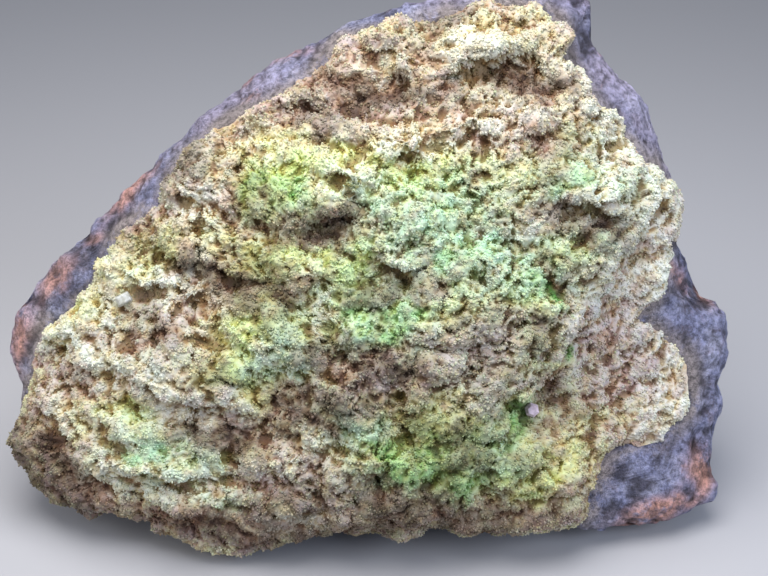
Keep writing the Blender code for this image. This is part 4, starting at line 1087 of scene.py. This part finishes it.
crustFinish = {
    "plain": (0.71, 0.69, 0.43), "plainOther": (0.54, 0.42, 0.41),
    # pale: paler crust and painted light on rims and ledge tops, mixed in up to lift
    "pale": (0.85, 0.89, 0.81),
    "ochre": (0.61, 0.54, 0.40),
    "pink": (0.57, 0.49, 0.54),
    "yellow": (0.76, 0.79, 0.36),
    "lime": (0.66, 0.84, 0.27),
    "mint": (0.43, 0.71, 0.51),
    "green": (0.24, 0.66, 0.20),
    "brown": (0.44, 0.29, 0.21),
    "paintedShade": (0.22, 0.18, 0.155),  # painted shade, multiplied with what lies under it
    "rosy": (0.47, 0.37, 0.37),  # mixed in on the flanks of the plain crust
    "mottle": (0.78, 0.63, 0.64),
    "speckle": (1.0, 0.88, 0.66),  # multiplied in spots a few millimetres wide
    "white": (0.76, 0.78, 0.70), "whiten": 0.1, "lift": 0.6,  # mixed in on the tips as their paler colour and painted highlight, and its share
    # multiplied in by pit, from the tips to the bottom of the pits: darker and browner, partly the
    # crust's own colour and partly painted shade
    "tip": (0.81, 0.81, 0.79), "flank": (0.81, 0.75, 0.65), "deep": (0.50, 0.37, 0.23),
    "pitBounce": 0.85,  # how far a colour is multiplied with itself in the pits: painted light bouncing in coloured hollows
    "roughness": 0.65,
    "bump": (0.4, 0.0005),  # strength and height in metres
}
crustPatterns = {
    # scale, detail and roughness of the noise, and the steps of its ramp
    "broad": ((150.0, 6.0, 0.68), ((0.42, 0.0), (0.58, 1.0))),
    "speckle": ((330.0, 4.0, 0.6), ((0.48, 0.0), (0.62, 0.8))),
    "mottle": ((210.0, 5.0, 0.65), ((0.48, 0.0), (0.6, 0.75))),
    "fine": ((1100.0, 4.0, 0.7), ((0.35, 0.88), (0.6, 1.0))),
}


def crustMaterial(name, bump):
    # Each tint's colour in its patches, then darker and browner into the pits, partly the crust's own
    # browner colour and partly painted shade, and the painted shade patches last.
    made, tree, shader = newMaterial(name)
    c = crustFinish
    noises = {key: objectNoise(tree, *values) for key, (values, _) in crustPatterns.items()}
    spread = {key: ramp(tree, noises[key], steps) for key, (_, steps) in crustPatterns.items()}
    shade = mixColours(tree, spread["broad"], c["plain"], c["plainOther"])
    pit = readNumber(tree, "pit")
    flank = ramp(tree, pit, ((0.25, 0.0), (0.5, 0.6), (0.8, 0.3)))
    shade = mixColours(tree, flank, shade, c["rosy"])
    # every tint but the painted shade, which is multiplied in last
    for key in crustTints:
        if key != "paintedShade":
            shade = mixColours(tree, readNumber(tree, key), shade, c[key])
    # pale: paler crust, and painted light on rims and ledge tops
    lift = ramp(tree, readNumber(tree, "pale"), ((0.0, 0.0), (1.0, c["lift"])))
    shade = mixColours(tree, lift, shade, c["pale"])
    for key in ("speckle", "mottle"):
        shade = mixColours(tree, spread[key], shade, c[key], "MULTIPLY")
    # the tips paler, partly their own colour and partly painted highlight
    shade = mixColours(tree, ramp(tree, pit, ((0.0, c["whiten"]), (0.42, 0.0))), shade, c["white"])
    # painted light bouncing in the pits: the colour multiplied with itself there
    bounceShare = ramp(tree, pit, ((0.35, 0.0), (0.85, c["pitBounce"])))
    shade = mixColours(tree, bounceShare, shade, shade, "MULTIPLY")
    # painted shade: darker and browner into the pits, partly the crust's own colour; then the fine
    # noise and the painted shade patches are multiplied in
    dark = ramp(tree, pit, ((0.15, c["tip"]), (0.5, c["flank"]), (0.9, c["deep"])))
    for share, other in ((1.0, dark), (1.0, spread["fine"]), (readNumber(tree, "paintedShade"), c["paintedShade"])):
        shade = mixColours(tree, share, shade, other, "MULTIPLY")
    tree.links.new(shade, shader.inputs["Base Color"])
    shader.inputs["Roughness"].default_value = c["roughness"]
    if bump:
        addBump(tree, shader, noises["fine"], *c["bump"])
    return made


def addBump(tree, shader, pattern, strength, distance):
    bump = addNode(tree, "ShaderNodeBump")
    bump.inputs["Strength"].default_value = strength
    bump.inputs["Distance"].default_value = distance
    tree.links.new(pattern, bump.inputs["Height"])
    tree.links.new(bump.outputs[0], shader.inputs["Normal"])


skinFinish = crustMaterial("crustSkin", True)
grainFinish = crustMaterial("crystalGrains", False)
for piece in crustPieces:
    piece.data.materials.append(skinFinish)
for piece in grains:
    piece.data.materials.append(grainFinish)

oddFinish = {
    # base colour, darker colour in its flaws, transmission, roughness
    "lilac_crystal": ((0.72, 0.60, 0.70), (0.52, 0.42, 0.50), 0.2, 0.3),
    "white_grain": ((0.66, 0.68, 0.66), (0.44, 0.44, 0.38), 0.3, 0.4),
}

for name, (colour, flaw, clear, roughness) in oddFinish.items():
    made, tree, shader = newMaterial(name)
    fog = ramp(tree, objectNoise(tree, 900.0, 3.0, 0.6), ((0.35, flaw), (0.6, colour)))
    tree.links.new(fog, shader.inputs["Base Color"])
    shader.inputs["Roughness"].default_value = roughness
    shader.inputs["Transmission Weight"].default_value = clear
    shader.inputs["IOR"].default_value = 1.6
    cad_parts[name].data.materials.clear()
    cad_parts[name].data.materials.append(made)

rockFinish = {
    "pale": (0.60, 0.61, 0.84),
    "plain": (0.38, 0.40, 0.64),
    "dark": (0.11, 0.11, 0.19),
    # darker rock, and painted shade along its lower edge
    "dimAndShade": (0.10, 0.10, 0.17),
    "brown": (0.27, 0.19, 0.22),
    "deep": (0.25, 0.23, 0.23),  # painted shade, multiplied in the pits
    "rust": (0.95, 0.50, 0.40),
    "mauve": (0.64, 0.57, 0.78),
    "dust": (0.50, 0.43, 0.43),
    "roughness": 0.55,
    "bump": (1.0, 0.0025),  # strength and height in metres
}


def rockMaterial():
    made, tree, shader = newMaterial("brokenRock")
    c = rockFinish
    patchy = objectNoise(tree, 90.0, 10.0, 0.75)
    shade = ramp(tree, patchy, ((0.38, c["dark"]), (0.49, c["plain"]), (0.62, c["pale"])))
    earthy = ramp(tree, objectNoise(tree, 140.0, 8.0, 0.7), ((0.52, 0.0), (0.62, 0.5)))
    shade = mixColours(tree, earthy, shade, c["brown"])
    shade = mixColours(tree, readNumber(tree, "mauve"), shade, c["mauve"])
    stain = objectNoise(tree, 75.0, 8.0, 0.7)
    shade = mixColours(tree, ramp(tree, stain, ((0.62, 0.0), (0.7, 0.6))), shade, c["rust"])
    fleck = ramp(tree, stain, ((0.4, 0.0), (0.5, 1.0)))
    for key in ("dimAndShade", "rust", "dust"):
        patch = addNode(tree, "ShaderNodeMath", operation="MULTIPLY")
        tree.links.new(fleck, patch.inputs[0])
        tree.links.new(readNumber(tree, key), patch.inputs[1])
        shade = mixColours(tree, patch.outputs[0], shade, c[key])
    # painted shade into the pits, and painted light on the convex edges
    pitShadeEdgeLight = ramp(tree, readNumber(tree, "pit"), ((0.1, 1.0), (0.45, 0.8), (0.9, c["deep"])))
    shade = mixColours(tree, 1.0, shade, pitShadeEdgeLight, "MULTIPLY")
    fine = objectNoise(tree, 700.0, 8.0, 0.75)
    vary = ramp(tree, fine, ((0.38, 0.3), (0.58, 1.0)))
    shade = mixColours(tree, 1.0, shade, vary, "MULTIPLY")
    tree.links.new(shade, shader.inputs["Base Color"])
    shader.inputs["Roughness"].default_value = c["roughness"]
    addBump(tree, shader, fine, *c["bump"])
    return made


rock.data.materials.append(rockMaterial())

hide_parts("pyromorphite_crust")
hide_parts("matrix")
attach(rock, "root")
for piece in (*crustPieces, *grains):
    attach(piece, "root")

stage = {
    "floorColour": (0.36, 0.36, 0.38), "floorRoughness": 0.8, "floorHalf": 4.0,
    "lamps": {
        # place, power, width and colour
        "key": ((-0.03, -0.07, 0.41), 2.3, 0.34, (1.0, 0.98, 0.97)),
        "fill": ((0.42, -0.3, 0.3), 2.1, 0.3, (0.76, 0.84, 1.0)),
        "side": ((-0.45, -0.2, 0.25), 1.0, 0.3, (1.0, 0.98, 0.95)),
    },
    "aim": (0.0, 0.0, 0.06),  # where the lamps point
    "world": ((0.76, 0.82, 0.94), 0.42),
}
view = {
    "focal": 1500.0, "wide": 768.0,  # focal length and picture width in pixels
    "sensor": 36.0,
    "place": (5.0, 56.3, 427.5),  # x, v and n; it looks straight at the face plane
}


def makeFloor():
    mesh = bpy.data.meshes.new("floor")
    half = stage["floorHalf"]
    corners = [(-half, -half, 0), (half, -half, 0), (half, half, 0), (-half, half, 0)]
    mesh.from_pydata(corners, [], [(0, 1, 2, 3)])
    floor = addObject("floor", mesh)
    made, _, shader = newMaterial("paleFloor")
    shader.inputs["Base Color"].default_value = (*stage["floorColour"], 1.0)
    shader.inputs["Roughness"].default_value = stage["floorRoughness"]
    mesh.materials.append(made)


def makeLights():
    for name, (place, power, width, colour) in stage["lamps"].items():
        lamp = bpy.data.lights.new(name, "AREA")
        lamp.energy, lamp.color = power, colour
        lamp.shape, lamp.size = "DISK", width
        hung = addObject(name, lamp)
        hung.location = place
        right, ahead, up = np.subtract(stage["aim"], place)
        tilt = math.atan2(math.hypot(right, ahead), -up)
        hung.rotation_euler = (tilt, 0.0, math.atan2(-right, ahead))
    world = bpy.data.worlds.new("studio")
    world.use_nodes = True
    colour, strength = stage["world"]
    world.node_tree.nodes["Background"].inputs[0].default_value = (*colour, 1.0)
    world.node_tree.nodes["Background"].inputs[1].default_value = strength
    bpy.context.scene.world = world


def makeCamera():
    data = bpy.data.cameras.new("camera")
    data.lens = view["focal"] / view["wide"] * view["sensor"]
    data.sensor_width = view["sensor"]
    data.clip_start = 0.01
    camera = addObject("camera", data)
    camera.location = toWorld(*np.array(view["place"]))
    camera.rotation_euler = (math.pi / 2.0 - facePlane["lean"], 0.0, 0.0)
    bpy.context.scene.camera = camera


makeFloor()
makeLights()
makeCamera()
bpy.context.scene.view_settings.view_transform = "Standard"
print("stage set")
